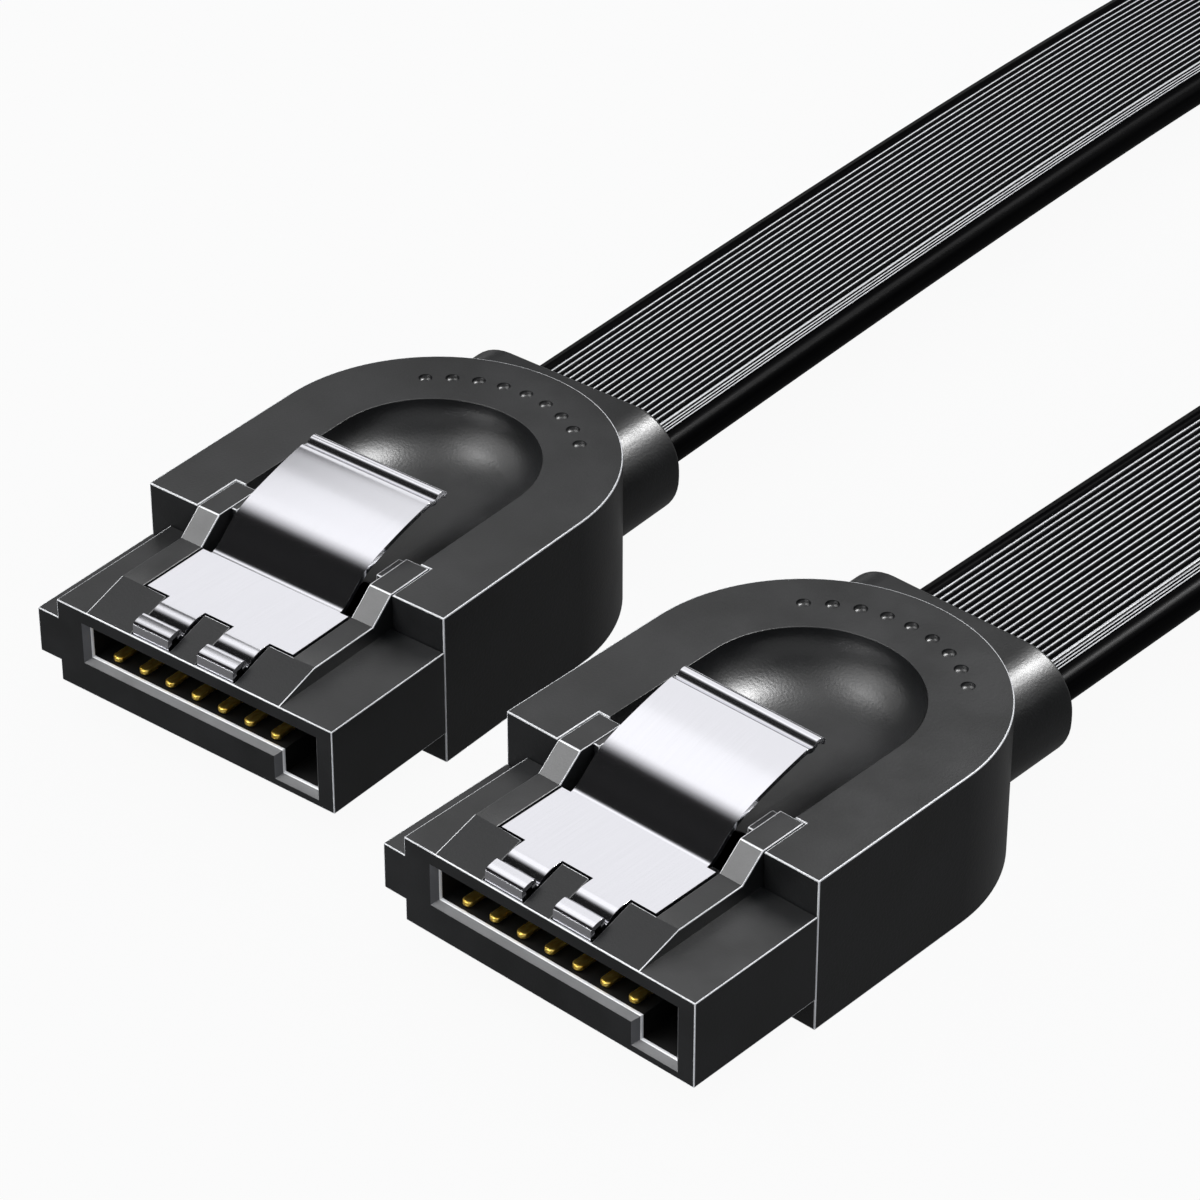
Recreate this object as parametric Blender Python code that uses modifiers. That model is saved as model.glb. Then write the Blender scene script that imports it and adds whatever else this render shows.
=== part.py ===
# Flat serial data cable with two identical latching plugs.
#
# Each plug has a moulded nose with an L-shaped slot and seven contacts, a boot moulded over its rear, and a
# steel latch spring that hooks into the nose's front edge and ends in a thumb pad over a hollow in the boot.
# A flat cord with seven conductors joins the two plugs.
#
# In a plug's own frame X runs across the contacts, Y runs from the mating face to the cord and Z is up. The
# boots stand on Z = 0, and the part's origin is on that plane, in the middle of the two plugs.
import math

import bmesh
import bpy
from mathutils import Matrix, Vector

MM = 0.001

# Fits
FIT = 0.10 * MM                  # clearance between moulded pieces, small because the walls are 0.3 mm thick
SPRING_FIT = 0.10 * MM           # clearance round the moving spring
WIRE_FIT = 0.05 * MM             # clearance round a wire in the inner mould

# Contacts
CONTACT_COUNT = 7
CONTACT_PITCH = 1.27 * MM
CONTACT_WIDTH = 0.50 * MM
CONTACT_SHEET = 0.24 * MM
CONTACT_SETBACK = 0.45 * MM      # contact tip behind the mating face
CONTACT_TIP_RUN = 0.42 * MM      # length of the part that slopes down to the tip
CONTACT_TIP_DROP = 0.26 * MM
CONTACT_OVER_SILL = 0.50 * MM    # middle of the contact above the slot's lower wall
CONTACT_TAIL = 1.40 * MM         # tail that stands out behind the carrier, for the wire

# Slot and nose, across the plug from left to right
RIB_WIDTH = 1.03 * MM
NOSE_LEFT_WALL = 1.45 * MM
SLOT_LEFT_MARGIN = 1.05 * MM     # slot's end to the first contact
KEY_OFFSET = 0.57 * MM           # last contact to the downward leg of the slot
KEY_WIDTH = 1.54 * MM
NOSE_RIGHT_WALL = 0.96 * MM

# Slot and nose, from the bottom up
NOSE_UNDERCUT = 1.33 * MM        # nose's underside above the boot's
KEY_FLOOR = 0.54 * MM
KEY_DROP = 1.00 * MM
SLOT_HEIGHT = 1.24 * MM
SLOT_ROOF = 0.40 * MM            # between the slot and the spring's channel
LIP_HEIGHT = 0.39 * MM           # nose's top above that channel's floor
PLATFORM_RISE = 0.60 * MM
POST_RISE = 0.88 * MM            # boot's top above the platform
RIB_TOP_DROP = 0.77 * MM
RIB_HEIGHT = 1.91 * MM

# Along the plug
NOSE_LENGTH = 6.06 * MM
SLOT_CHAMFER = 0.26 * MM
SLOT_DEPTH = 4.95 * MM
TONGUE_LENGTH = 2.80 * MM        # part of the nose inside the boot
RAMP_LENGTH = 2.00 * MM
POST_START = 5.14 * MM
POST_SLOPE = 1.03 * MM
POST_LENGTH = 3.11 * MM          # from the foot of the slope to the rear end
LIP_WALL = 0.08 * MM             # front wall that the spring's tips hook behind

# Walls of the pieces inside
TONGUE_SIDE = 1.50 * MM          # boot's wall beside the tongue
TONGUE_WALL = 0.28 * MM
CARRIER_MARGIN = 0.90 * MM       # carrier beyond the outer contacts
INNER_MOULD_SIDE = 1.80 * MM     # boot's side to the inner mould
INNER_MOULD_LENGTH = 7.90 * MM
BOOT_FLOOR = 1.65 * MM           # boot's wall under the tongue and the inner mould
SCOOP_FLOOR_WALL = 0.30 * MM     # boot's wall between the inner mould and the hollow

# Platform, posts and spring, across the plug
PLATFORM_WIDTH = 9.30 * MM
POST_WIDTH = 1.01 * MM
POST_LEDGE = 0.30 * MM           # inner ledge on the rear half of each post
POST_LEDGE_LENGTH = 1.35 * MM
PLATE_WIDTH = 7.10 * MM
PAD_WIDTH = 6.20 * MM
FINGER_WIDTH = 1.76 * MM
FINGER_GAP = 1.34 * MM

# Spring sheet, seen from the side
SHEET = 0.20 * MM
PLATE_BELOW_PLATFORM = 0.09 * MM
FINGER_ROOT = 2.10 * MM          # where the two fingers leave the plate
VALLEY_DEPTH = 0.22 * MM
BUMP_HEIGHT = 0.06 * MM          # crest above the plate
BUMP_LENGTH = 0.66 * MM
TIP_DEPTH = 0.50 * MM            # tip below the plate, behind the lip
PAD_FOOT = 5.25 * MM             # where the pad's front leg rises from the plate
PAD_LEG_RUN = 1.35 * MM
PAD_LEG_RISE = 1.12 * MM
PAD_TOP_RUN = 4.30 * MM
PAD_TOP_RISE = 1.05 * MM
PAD_ROLL = 0.22 * MM             # radius of the rolled rear edge

# Boot
BOOT_STRAIGHT = 7.90 * MM        # straight sides, before the round rear end
BOOT_EDGE = 0.12 * MM
SCOOP_WIDTH = 8.44 * MM
SCOOP_REAR = 3.15 * MM           # top surface left behind the hollow
SCOOP_ROUND = 1.60 * MM
COLLAR_LENGTH = 1.30 * MM        # behind the boot's round end
COLLAR_WIDTH = 10.50 * MM
COLLAR_HEIGHT = 4.60 * MM
COLLAR_CENTRE = 3.40 * MM        # above the boot's underside
COLLAR_ROUND = 2.15 * MM
COLLAR_EDGE = 0.15 * MM
DIMPLE_COUNT = 9
DIMPLE_SIZE = 0.52 * MM
DIMPLE_DEPTH = 0.16 * MM
DIMPLE_SPREAD = 86.0             # degrees round the boot's rear end

# Cord
CORD_WIDTH = 7.90 * MM
CORD_THICKNESS = 1.50 * MM
CORD_ROUND = 0.50 * MM
CORD_CENTRE = 3.00 * MM          # above the boot's underside
CORE_CAVITY_WIDTH = 6.90 * MM
CORE_CAVITY_HEIGHT = 0.92 * MM
WIRE_PITCH = 1.00 * MM
CORE_SIZE = 0.76 * MM            # insulated signal core
DRAIN_SIZE = 0.36 * MM           # bare drain wire
DRAINS = (0, 3, 6)               # places of the drain wires, the others are signal cores

# Place of the two plugs
PLUG_FRONT = 12.32 * MM          # plug a's mating face lies this far in front of the origin
PLUG_A_SIDE = 9.92 * MM          # to the right of the origin
PLUG_B_SIDE = 9.29 * MM          # to the left of it
PLUG_STAGGER = 2.05 * MM         # plug b lies this much further back
PLUG_B_TURN = 4.1                # degrees, its cord heading to the left

# The cord's route past the plugs: x, y, height above the resting height (mm) and twist (degrees).
# It runs level out of plug a, sinks to the surface, turns onto its edge and goes round a wide loop to plug b.
ROUTE = (
    (9.92, 30.0, 2.20, 0.0),
    (9.92, 50.0, 1.80, 0.0),
    (9.92, 68.0, 0.80, 0.0),
    (10.0, 84.0, 0.00, 4.0),
    (11.2, 102.0, 0.00, 36.0),
    (14.6, 121.0, 0.00, 74.0),
    (20.4, 141.0, 0.00, 90.0),
    (26.8, 161.0, 0.00, 90.0),
    (30.6, 182.0, 0.00, 90.0),
    (27.6, 201.0, 0.00, 90.0),
    (16.6, 215.5, 0.00, 90.0),
    (0.0, 221.0, 0.00, 90.0),
    (-16.6, 215.5, 0.00, 90.0),
    (-27.6, 201.0, 0.00, 90.0),
    (-30.6, 182.0, 0.00, 90.0),
    (-26.8, 161.0, 0.00, 90.0),
    (-22.6, 141.0, 0.00, 90.0),
    (-19.3, 121.0, 0.00, 106.0),
    (-17.4, 102.0, 0.00, 144.0),
    (-16.05, 84.0, 0.00, 176.0),
    (-14.90, 68.0, 0.80, 180.0),
    (-13.61, 50.0, 1.80, 180.0),
    (-12.32, 32.0, 2.20, 180.0),
)
STEPS_PER_POINT = 2
SECTION_DIVISIONS = 6            # points along the flat sides of the cord's section

# Places that follow from the sizes, across the plug
contact_span = CONTACT_PITCH * (CONTACT_COUNT - 1)
plug_width = (RIB_WIDTH + NOSE_LEFT_WALL + SLOT_LEFT_MARGIN + contact_span
              + KEY_OFFSET + KEY_WIDTH + NOSE_RIGHT_WALL)
plug_left = -plug_width / 2
plug_right = plug_width / 2
body_left = plug_left + RIB_WIDTH
slot_left = body_left + NOSE_LEFT_WALL
first_contact = slot_left + SLOT_LEFT_MARGIN
last_contact = first_contact + contact_span
key_left = last_contact + KEY_OFFSET
slot_right = key_left + KEY_WIDTH
contact_middle = (first_contact + last_contact) / 2

# From the bottom up
key_bottom = NOSE_UNDERCUT + KEY_FLOOR
slot_bottom = key_bottom + KEY_DROP
slot_top = slot_bottom + SLOT_HEIGHT
channel_floor = slot_top + SLOT_ROOF
nose_top = channel_floor + LIP_HEIGHT
platform_top = nose_top + PLATFORM_RISE
boot_top = platform_top + POST_RISE
rib_top = nose_top - RIB_TOP_DROP
plate_middle = platform_top - PLATE_BELOW_PLATFORM - SHEET / 2
contact_level = slot_bottom + CONTACT_OVER_SILL
tongue_top = channel_floor - SCOOP_FLOOR_WALL - FIT
tongue_bottom = BOOT_FLOOR + FIT

# Along the plug
boot_front = NOSE_LENGTH + FIT
tongue_end = boot_front + TONGUE_LENGTH
boot_centre = boot_front + BOOT_STRAIGHT
boot_end = boot_centre + plug_width / 2
collar_end = boot_end + COLLAR_LENGTH
carrier_front = SLOT_DEPTH + FIT
mould_front = tongue_end + FIT
mould_end = mould_front + INNER_MOULD_LENGTH
tail_end = mould_front + CONTACT_TAIL
jacket_end = mould_end + FIT
post_end = POST_START + POST_LENGTH
post_outer = PLATFORM_WIDTH / 2
post_inner = post_outer - POST_WIDTH
scoop_end = boot_end - SCOOP_REAR
scoop_centre = scoop_end - SCOOP_WIDTH / 2

plug_frames = {
    "a": Matrix.Translation((PLUG_A_SIDE, -PLUG_FRONT, 0.0)),
    "b": (Matrix.Translation((-PLUG_B_SIDE, PLUG_STAGGER - PLUG_FRONT, 0.0))
          @ Matrix.Rotation(math.radians(PLUG_B_TURN), 4, "Z")),
}

# Turns an outline's own plane into a plane of the part: side views lie in YZ, front views in XZ.
PLAN = Matrix.Identity(3)
SIDE = Matrix(((0, 0, 1), (1, 0, 0), (0, 1, 0)))
FRONT = Matrix(((1, 0, 0), (0, 0, -1), (0, 1, 0)))


def clear_scene():
    for obj in list(bpy.data.objects):
        bpy.data.objects.remove(obj, do_unlink=True)


def new_collection(name):
    collection = bpy.data.collections.new(name)
    bpy.context.scene.collection.children.link(collection)
    return collection


def new_material(name, colour, roughness, metallic=0.0):
    material = bpy.data.materials.new(name)
    material.use_nodes = True
    shader = material.node_tree.nodes["Principled BSDF"]
    shader.inputs["Base Color"].default_value = (*colour, 1.0)
    shader.inputs["Roughness"].default_value = roughness
    shader.inputs["Metallic"].default_value = metallic
    material.diffuse_color = (*colour, 1.0)
    return material


def mesh_from(obj):
    """The evaluated mesh of an object, welded, with the object's own place kept in the mesh."""
    bpy.context.view_layer.update()
    evaluated = obj.evaluated_get(bpy.context.evaluated_depsgraph_get())
    mesh = bpy.data.meshes.new_from_object(evaluated)
    mesh.transform(obj.matrix_world)
    work = bmesh.new()
    work.from_mesh(mesh)
    bmesh.ops.remove_doubles(work, verts=work.verts, dist=0.000001)
    work.to_mesh(mesh)
    work.free()
    return mesh


def from_curve(name, curve_object, collection):
    """A mesh object made from a curve, with its faces turned outward, in the curve's stead."""
    mesh = mesh_from(curve_object)
    bpy.data.objects.remove(curve_object, do_unlink=True)
    work = bmesh.new()
    work.from_mesh(mesh)
    bmesh.ops.recalc_face_normals(work, faces=work.faces)
    work.to_mesh(mesh)
    work.free()
    obj = bpy.data.objects.new(name, mesh)
    collection.objects.link(obj)
    return obj


def settle(obj):
    """Replaces an object's modifiers by their result."""
    mesh = mesh_from(obj)
    obj.modifiers.clear()
    obj.data = mesh
    return obj


def box(name, collection, x, y, z):
    mesh = bpy.data.meshes.new(name)
    work = bmesh.new()
    size = Vector((x[1] - x[0], y[1] - y[0], z[1] - z[0]))
    middle = Vector((x[1] + x[0], y[1] + y[0], z[1] + z[0])) / 2
    bmesh.ops.create_cube(work, size=1.0, matrix=Matrix.Translation(middle) @ Matrix.Diagonal((*size, 1.0)))
    work.to_mesh(mesh)
    work.free()
    obj = bpy.data.objects.new(name, mesh)
    collection.objects.link(obj)
    return obj


def prism(name, collection, outline, low, high, plane, lead=0.0):
    """A flat outline drawn in a plane of the part and raised from low to high along that plane's normal.
    With a lead its sides slope outward by that much, so it is widest halfway up."""
    curve = bpy.data.curves.new(name, "CURVE")
    curve.dimensions = "2D"
    curve.fill_mode = "BOTH"
    curve.extrude = (high - low) / 2
    curve.bevel_depth = lead
    curve.bevel_resolution = 0
    spline = curve.splines.new("POLY")
    spline.points.add(len(outline) - 1)
    for point, place in zip(spline.points, outline):
        point.co = (place[0], place[1], 0.0, 1.0)
    spline.use_cyclic_u = True
    flat = bpy.data.objects.new(name + "_outline", curve)
    collection.objects.link(flat)
    flat.matrix_world = plane.to_4x4() @ Matrix.Translation((0.0, 0.0, (low + high) / 2))
    return from_curve(name, flat, collection)


def bent_sheet(name, collection, line, width, thickness):
    """A sheet whose middle follows a line in the side view."""
    curve = bpy.data.curves.new(name, "CURVE")
    curve.dimensions = "2D"
    curve.extrude = width / 2
    spline = curve.splines.new("POLY")
    spline.points.add(len(line) - 1)
    for point, place in zip(spline.points, line):
        point.co = (place[0], place[1], 0.0, 1.0)
    strip = bpy.data.objects.new(name + "_line", curve)
    collection.objects.link(strip)
    strip.matrix_world = SIDE.to_4x4()
    obj = from_curve(name, strip, collection)
    solid = obj.modifiers.new("Thickness", "SOLIDIFY")
    solid.thickness = thickness
    solid.offset = 0.0
    solid.use_even_offset = True
    return settle(obj)


def tube(name, collection, points, diameter):
    curve = bpy.data.curves.new(name, "CURVE")
    curve.dimensions = "3D"
    curve.bevel_depth = diameter / 2
    curve.bevel_resolution = 2
    curve.use_fill_caps = True
    spline = curve.splines.new("POLY")
    spline.points.add(len(points) - 1)
    for point, place in zip(spline.points, points):
        point.co = (*place, 1.0)
    obj = bpy.data.objects.new(name, curve)
    collection.objects.link(obj)
    return obj


def bevel(obj, width, segments=2):
    edge = obj.modifiers.new("Edge", "BEVEL")
    edge.width = width
    edge.segments = segments
    edge.limit_method = "ANGLE"
    edge.angle_limit = math.radians(40)
    return settle(obj)


def combine(obj, others, operation, solver="EXACT"):
    for other in others:
        boolean = obj.modifiers.new(other.name, "BOOLEAN")
        boolean.operation = operation
        boolean.solver = solver
        boolean.object = other
    return settle(obj)


def cut(obj, cutters, solver="EXACT"):
    for cutter in cutters:
        cutter.display_type = "WIRE"
        cutter.hide_render = True
    return combine(obj, cutters, "DIFFERENCE", solver)


def join(obj, others):
    combine(obj, others, "UNION")
    for other in others:
        bpy.data.objects.remove(other, do_unlink=True)
    return obj


def arc(middle, radius, start, end, steps):
    """Points of an arc, with its two ends, from a start to an end angle in degrees."""
    points = []
    for step in range(steps + 1):
        angle = math.radians(start + (end - start) * step / steps)
        points.append((middle[0] + radius * math.cos(angle), middle[1] + radius * math.sin(angle)))
    return points


def rounded_rectangle(middle, width, height, radius, steps):
    across = width / 2 - radius
    up = height / 2 - radius
    points = []
    for corner, (side, level) in enumerate(((1, 1), (-1, 1), (-1, -1), (1, -1))):
        place = (middle[0] + side * across, middle[1] + level * up)
        points.extend(arc(place, radius, corner * 90, corner * 90 + 90, steps))
    return points


def contact_place(index):
    return first_contact + CONTACT_PITCH * index


def build_nose(parts, cutters):
    """Nose: body with a side rib and a raised platform, two posts, a slot in front and a pocket behind."""
    nose = box("nose", parts, (body_left, plug_right), (0, NOSE_LENGTH), (NOSE_UNDERCUT, nose_top))
    rib = box("rib", parts, (plug_left, body_left + RIB_WIDTH / 2), (0, NOSE_LENGTH),
              (rib_top - RIB_HEIGHT, rib_top))
    tongue_half = plug_width / 2 - TONGUE_SIDE
    tongue = box("tongue", parts, (-tongue_half, tongue_half), (NOSE_LENGTH - TONGUE_LENGTH, tongue_end),
                 (tongue_bottom, tongue_top))
    platform_side = [(0, nose_top), (RAMP_LENGTH, platform_top), (NOSE_LENGTH, platform_top),
                     (NOSE_LENGTH, channel_floor), (0, channel_floor)]
    platform = prism("platform", parts, platform_side, -post_outer, post_outer, SIDE)
    post_side = [(POST_START - POST_SLOPE, channel_floor), (POST_START, platform_top),
                 (POST_START + POST_SLOPE, boot_top), (post_end, boot_top), (post_end, tongue_top - FIT),
                 (POST_START, tongue_top - FIT)]
    posts = []
    ledges = []
    for side in (-1, 1):
        inner, outer = sorted((side * post_inner, side * post_outer))
        posts.append(prism("post", parts, post_side, inner, outer, SIDE))
        ledge_x = sorted((side * (post_inner - POST_LEDGE), side * (post_inner + POST_LEDGE)))
        ledges.append(box("ledge", parts, ledge_x, (post_end - POST_LEDGE_LENGTH, post_end - FIT),
                          (platform_top, boot_top)))
    join(nose, [rib, tongue, platform, *posts, *ledges])

    mouth = [(slot_left, slot_bottom), (key_left, slot_bottom), (key_left, key_bottom),
             (slot_right, key_bottom), (slot_right, slot_top), (slot_left, slot_top)]
    slot = prism("slot_cutter", cutters, mouth, -SLOT_DEPTH - FIT, SLOT_CHAMFER, FRONT)
    chamfer = prism("chamfer_cutter", cutters, mouth, 0, 0, FRONT, lead=SLOT_CHAMFER)
    pocket_half = contact_span / 2 + CARRIER_MARGIN + FIT
    pocket = box("pocket_cutter", cutters, (contact_middle - pocket_half, contact_middle + pocket_half),
                 (SLOT_DEPTH, tongue_end + FIT), (tongue_bottom + TONGUE_WALL, tongue_top - TONGUE_WALL))
    plate_half = PLATE_WIDTH / 2 + SPRING_FIT
    seat = box("plate_cutter", cutters, (-plate_half, plate_half), (FINGER_ROOT - SPRING_FIT, tongue_end),
               (channel_floor, boot_top + FIT))
    slits = []
    for middle in finger_middles():
        half = FINGER_WIDTH / 2 + SPRING_FIT
        slits.append(box("finger_cutter", cutters, (middle - half, middle + half), (LIP_WALL, FINGER_ROOT),
                         (channel_floor, boot_top)))
    return cut(nose, [slot, chamfer, pocket, seat, *slits])


def finger_middles():
    offset = (FINGER_WIDTH + FINGER_GAP) / 2
    return (-offset, offset)


def spring_line():
    """Middle line of the spring sheet in the side view, from the hooked tips to the pad's rolled edge."""
    crest = plate_middle + BUMP_HEIGHT
    front = LIP_WALL + SPRING_FIT + SHEET / 2
    bump_radius = SHEET
    line = [(front, plate_middle - TIP_DEPTH)]
    line += arc((front + bump_radius, crest - bump_radius - SHEET / 4), bump_radius, 180, 100, 3)
    line += arc((front + BUMP_LENGTH - bump_radius, crest - bump_radius), bump_radius, 95, 10, 3)
    line += [(front + BUMP_LENGTH + SHEET * 0.6, plate_middle - VALLEY_DEPTH)]
    line += [(front + BUMP_LENGTH + SHEET * 2, plate_middle - VALLEY_DEPTH * 0.75)]
    line += [(front + BUMP_LENGTH + SHEET * 4, plate_middle - VALLEY_DEPTH * 0.15)]
    line += [(FINGER_ROOT, plate_middle), (PAD_FOOT - SHEET, plate_middle)]
    line += [(PAD_FOOT, plate_middle + SHEET * 0.3)]
    leg_top = (PAD_FOOT + PAD_LEG_RUN, plate_middle + PAD_LEG_RISE)
    line += [(leg_top[0] - PAD_LEG_RUN * 0.2, leg_top[1] - PAD_LEG_RISE * 0.17)]
    line += [(leg_top[0] + PAD_LEG_RUN * 0.12, leg_top[1] + PAD_TOP_RISE * 0.12)]
    line += [(leg_top[0] + PAD_LEG_RUN * 0.5, leg_top[1] + PAD_TOP_RISE * 0.30)]
    line += [(leg_top[0] + PAD_TOP_RUN * 0.55, leg_top[1] + PAD_TOP_RISE * 0.75)]
    pad_end = (leg_top[0] + PAD_TOP_RUN, leg_top[1] + PAD_TOP_RISE)
    line += [(pad_end[0] - PAD_TOP_RUN * 0.15, pad_end[1] - PAD_TOP_RISE * 0.04)]
    line += arc((pad_end[0], pad_end[1] - PAD_ROLL), PAD_ROLL, 80, -70, 4)
    return line


def build_spring(parts, cutters):
    """Latch spring: one bent sheet, trimmed to two fingers in front and a narrower pad behind."""
    spring = bent_sheet("spring", parts, spring_line(), PLATE_WIDTH, SHEET)
    inner = FINGER_GAP / 2
    outer = inner + FINGER_WIDTH
    beyond = PLATE_WIDTH
    height = (NOSE_UNDERCUT, boot_top * 2)
    trims = [box("gap_trim", cutters, (-inner, inner), (-FINGER_ROOT, FINGER_ROOT), height)]
    for side in (-1, 1):
        shoulder = sorted((side * outer, side * beyond))
        trims.append(box("shoulder_trim", cutters, shoulder, (-FINGER_ROOT, FINGER_ROOT), height))
        edge = sorted((side * PAD_WIDTH / 2, side * beyond))
        trims.append(box("pad_trim", cutters, edge, (PAD_FOOT - SHEET, boot_end), height))
    return cut(spring, trims)


def build_contact(parts):
    """Contact: a flat strip whose front end slopes down to its tip."""
    tip = CONTACT_SETBACK
    line = [(tip, contact_level - CONTACT_TIP_DROP),
            (tip + CONTACT_TIP_RUN * 0.35, contact_level - CONTACT_TIP_DROP * 0.8),
            (tip + CONTACT_TIP_RUN, contact_level), (tail_end, contact_level)]
    return bent_sheet("contact", parts, line, CONTACT_WIDTH, CONTACT_SHEET)


def passage_cutter(name, collection, front, back):
    """The seven strips' room between two places along the plug, as one cutter."""
    half_width = CONTACT_WIDTH / 2 + FIT
    half_height = CONTACT_SHEET / 2 + FIT
    work = bmesh.new()
    for index in range(CONTACT_COUNT):
        middle = Vector((contact_place(index), (front + back) / 2, contact_level))
        size = Matrix.Diagonal((half_width * 2, back - front, half_height * 2, 1.0))
        bmesh.ops.create_cube(work, size=1.0, matrix=Matrix.Translation(middle) @ size)
    mesh = bpy.data.meshes.new(name)
    work.to_mesh(mesh)
    work.free()
    obj = bpy.data.objects.new(name, mesh)
    collection.objects.link(obj)
    return obj


def build_carrier(parts, cutters):
    """Carrier: the block that holds the seven contacts in the nose's pocket and closes the slot behind."""
    half = contact_span / 2 + CARRIER_MARGIN
    carrier = box("carrier", parts, (contact_middle - half, contact_middle + half),
                  (carrier_front, tongue_end),
                  (tongue_bottom + TONGUE_WALL + FIT, tongue_top - TONGUE_WALL - FIT))
    passages = passage_cutter("passage_cutter", cutters, carrier_front - FIT, tongue_end + FIT)
    return cut(carrier, [passages])


def wire_size(index):
    return DRAIN_SIZE if index in DRAINS else CORE_SIZE


def wire_offset(index):
    return WIRE_PITCH * (index - (CONTACT_COUNT - 1) / 2)


def wire_in_plug(index):
    """A wire's points in a plug, from its contact's tail to the end of the cord's jacket."""
    tail = contact_place(index)
    return [Vector((tail, tail_end + FIT, contact_level)),
            Vector((tail, tail_end + CONTACT_TAIL / 2, contact_level)),
            Vector((wire_offset(index), mould_end - CONTACT_TAIL / 2, CORD_CENTRE)),
            Vector((wire_offset(index), jacket_end + CORD_THICKNESS, CORD_CENTRE))]


def build_inner_mould(parts, cutters):
    """Inner mould: the block round the joints between the contacts' tails and the wires."""
    half = plug_width / 2 - INNER_MOULD_SIDE
    mould = box("mould", parts, (-half, half), (mould_front, mould_end), (tongue_bottom, tongue_top))
    tails = passage_cutter("tail_cutter", cutters, mould_front - FIT, tail_end + FIT)
    wires = []
    for index in range(CONTACT_COUNT):
        route = tube("wire_cutter", cutters, wire_in_plug(index), wire_size(index) + WIRE_FIT * 2)
        wires.append(from_curve("wire_cutter", route, cutters))
    return cut(mould, [tails, *wires])


def boot_outline(inset, front, steps):
    radius = plug_width / 2 - inset
    return [(-radius, front), (radius, front), *arc((0, boot_centre), radius, 0, 180, steps)]


def build_boot(parts, cutters):
    """Boot: round-ended shell with a collar for the cord, a thumb hollow and rooms for the pieces inside."""
    boot = prism("boot", parts, boot_outline(0, boot_front, 28), 0, boot_top, PLAN)
    bevel(boot, BOOT_EDGE)
    collar_outline = rounded_rectangle((0, COLLAR_CENTRE), COLLAR_WIDTH, COLLAR_HEIGHT, COLLAR_ROUND, 5)
    collar = prism("collar", parts, collar_outline, -collar_end, -boot_centre, FRONT)
    bevel(collar, COLLAR_EDGE)
    join(boot, [collar])

    room_low = tongue_bottom - FIT
    room_high = tongue_top + FIT
    tongue_half = plug_width / 2 - TONGUE_SIDE + FIT
    tongue_room = box("tongue_cutter", cutters, (-tongue_half, tongue_half), (0, mould_front),
                      (room_low, room_high))
    mould_half = plug_width / 2 - INNER_MOULD_SIDE + FIT
    mould_room = box("mould_cutter", cutters, (-mould_half, mould_half), (boot_front, jacket_end),
                     (room_low, room_high))
    bore_outline = rounded_rectangle((0, CORD_CENTRE), CORD_WIDTH + FIT * 2, CORD_THICKNESS + FIT * 2,
                                     CORD_ROUND + FIT, 3)
    bore = prism("bore_cutter", cutters, bore_outline, -collar_end - FIT, -mould_end, FRONT)
    post_half = post_outer + FIT
    post_room = box("post_cutter", cutters, (-post_half, post_half), (0, post_end + FIT),
                    (channel_floor, boot_top * 2))
    feet = []
    for side in (-1, 1):
        foot = sorted((side * (post_inner - FIT), side * post_half))
        feet.append(box("post_foot_cutter", cutters, foot, (0, post_end + FIT), (slot_bottom, boot_top)))
    channel_half = post_inner - SPRING_FIT
    channel = box("channel_cutter", cutters, (-channel_half, channel_half), (0, scoop_centre),
                  (channel_floor, boot_top * 2))
    scoop = scoop_cutter(cutters)
    dimples = dimple_cutter(cutters)
    return cut(boot, [tongue_room, mould_room, bore, post_room, *feet, channel, scoop, dimples])


def scoop_cutter(cutters):
    """Thumb hollow: a round-ended trough with a rounded floor, open at the boot's top."""
    radius = SCOOP_WIDTH / 2
    outline = [(-radius, post_end - SCOOP_ROUND), (radius, post_end - SCOOP_ROUND),
               *arc((0, scoop_centre), radius, 0, 180, 20)]
    scoop = prism("scoop_cutter", cutters, outline, channel_floor, boot_top + BOOT_EDGE * 2, PLAN)
    work = bmesh.new()
    work.from_mesh(scoop.data)
    floor_edges = [edge for edge in work.edges
                   if all(abs(vert.co.z - channel_floor) < FIT / 2 for vert in edge.verts)
                   and len(edge.link_faces) == 2
                   and any(abs(face.normal.z) < 0.5 for face in edge.link_faces)]
    bmesh.ops.bevel(work, geom=floor_edges, offset=SCOOP_ROUND, segments=5, profile=0.5, affect="EDGES",
                    clamp_overlap=False)
    work.to_mesh(scoop.data)
    work.free()
    return scoop


def dimple_cutter(cutters):
    """A curved row of small round dimples in the top surface behind the hollow."""
    row_radius = plug_width / 2 - SCOOP_REAR / 2
    work = bmesh.new()
    for index in range(DIMPLE_COUNT):
        angle = math.radians(90 + DIMPLE_SPREAD * (index / (DIMPLE_COUNT - 1) - 0.5))
        place = (row_radius * math.cos(angle), boot_centre + row_radius * math.sin(angle), boot_top)
        bmesh.ops.create_cone(work, cap_ends=True, segments=10, radius1=DIMPLE_SIZE / 2,
                              radius2=DIMPLE_SIZE / 2, depth=DIMPLE_DEPTH * 2,
                              matrix=Matrix.Translation(place))
    mesh = bpy.data.meshes.new("dimple_cutter")
    work.to_mesh(mesh)
    work.free()
    obj = bpy.data.objects.new("dimple_cutter", mesh)
    cutters.objects.link(obj)
    return obj


def resting_height(twist):
    """Height of the cord's middle when its lower edge lies on the surface, for a twist in degrees."""
    angle = math.radians(twist)
    across = (CORD_WIDTH / 2 - CORD_ROUND) * abs(math.sin(angle))
    through = (CORD_THICKNESS / 2 - CORD_ROUND) * abs(math.cos(angle))
    return across + through + CORD_ROUND


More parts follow.
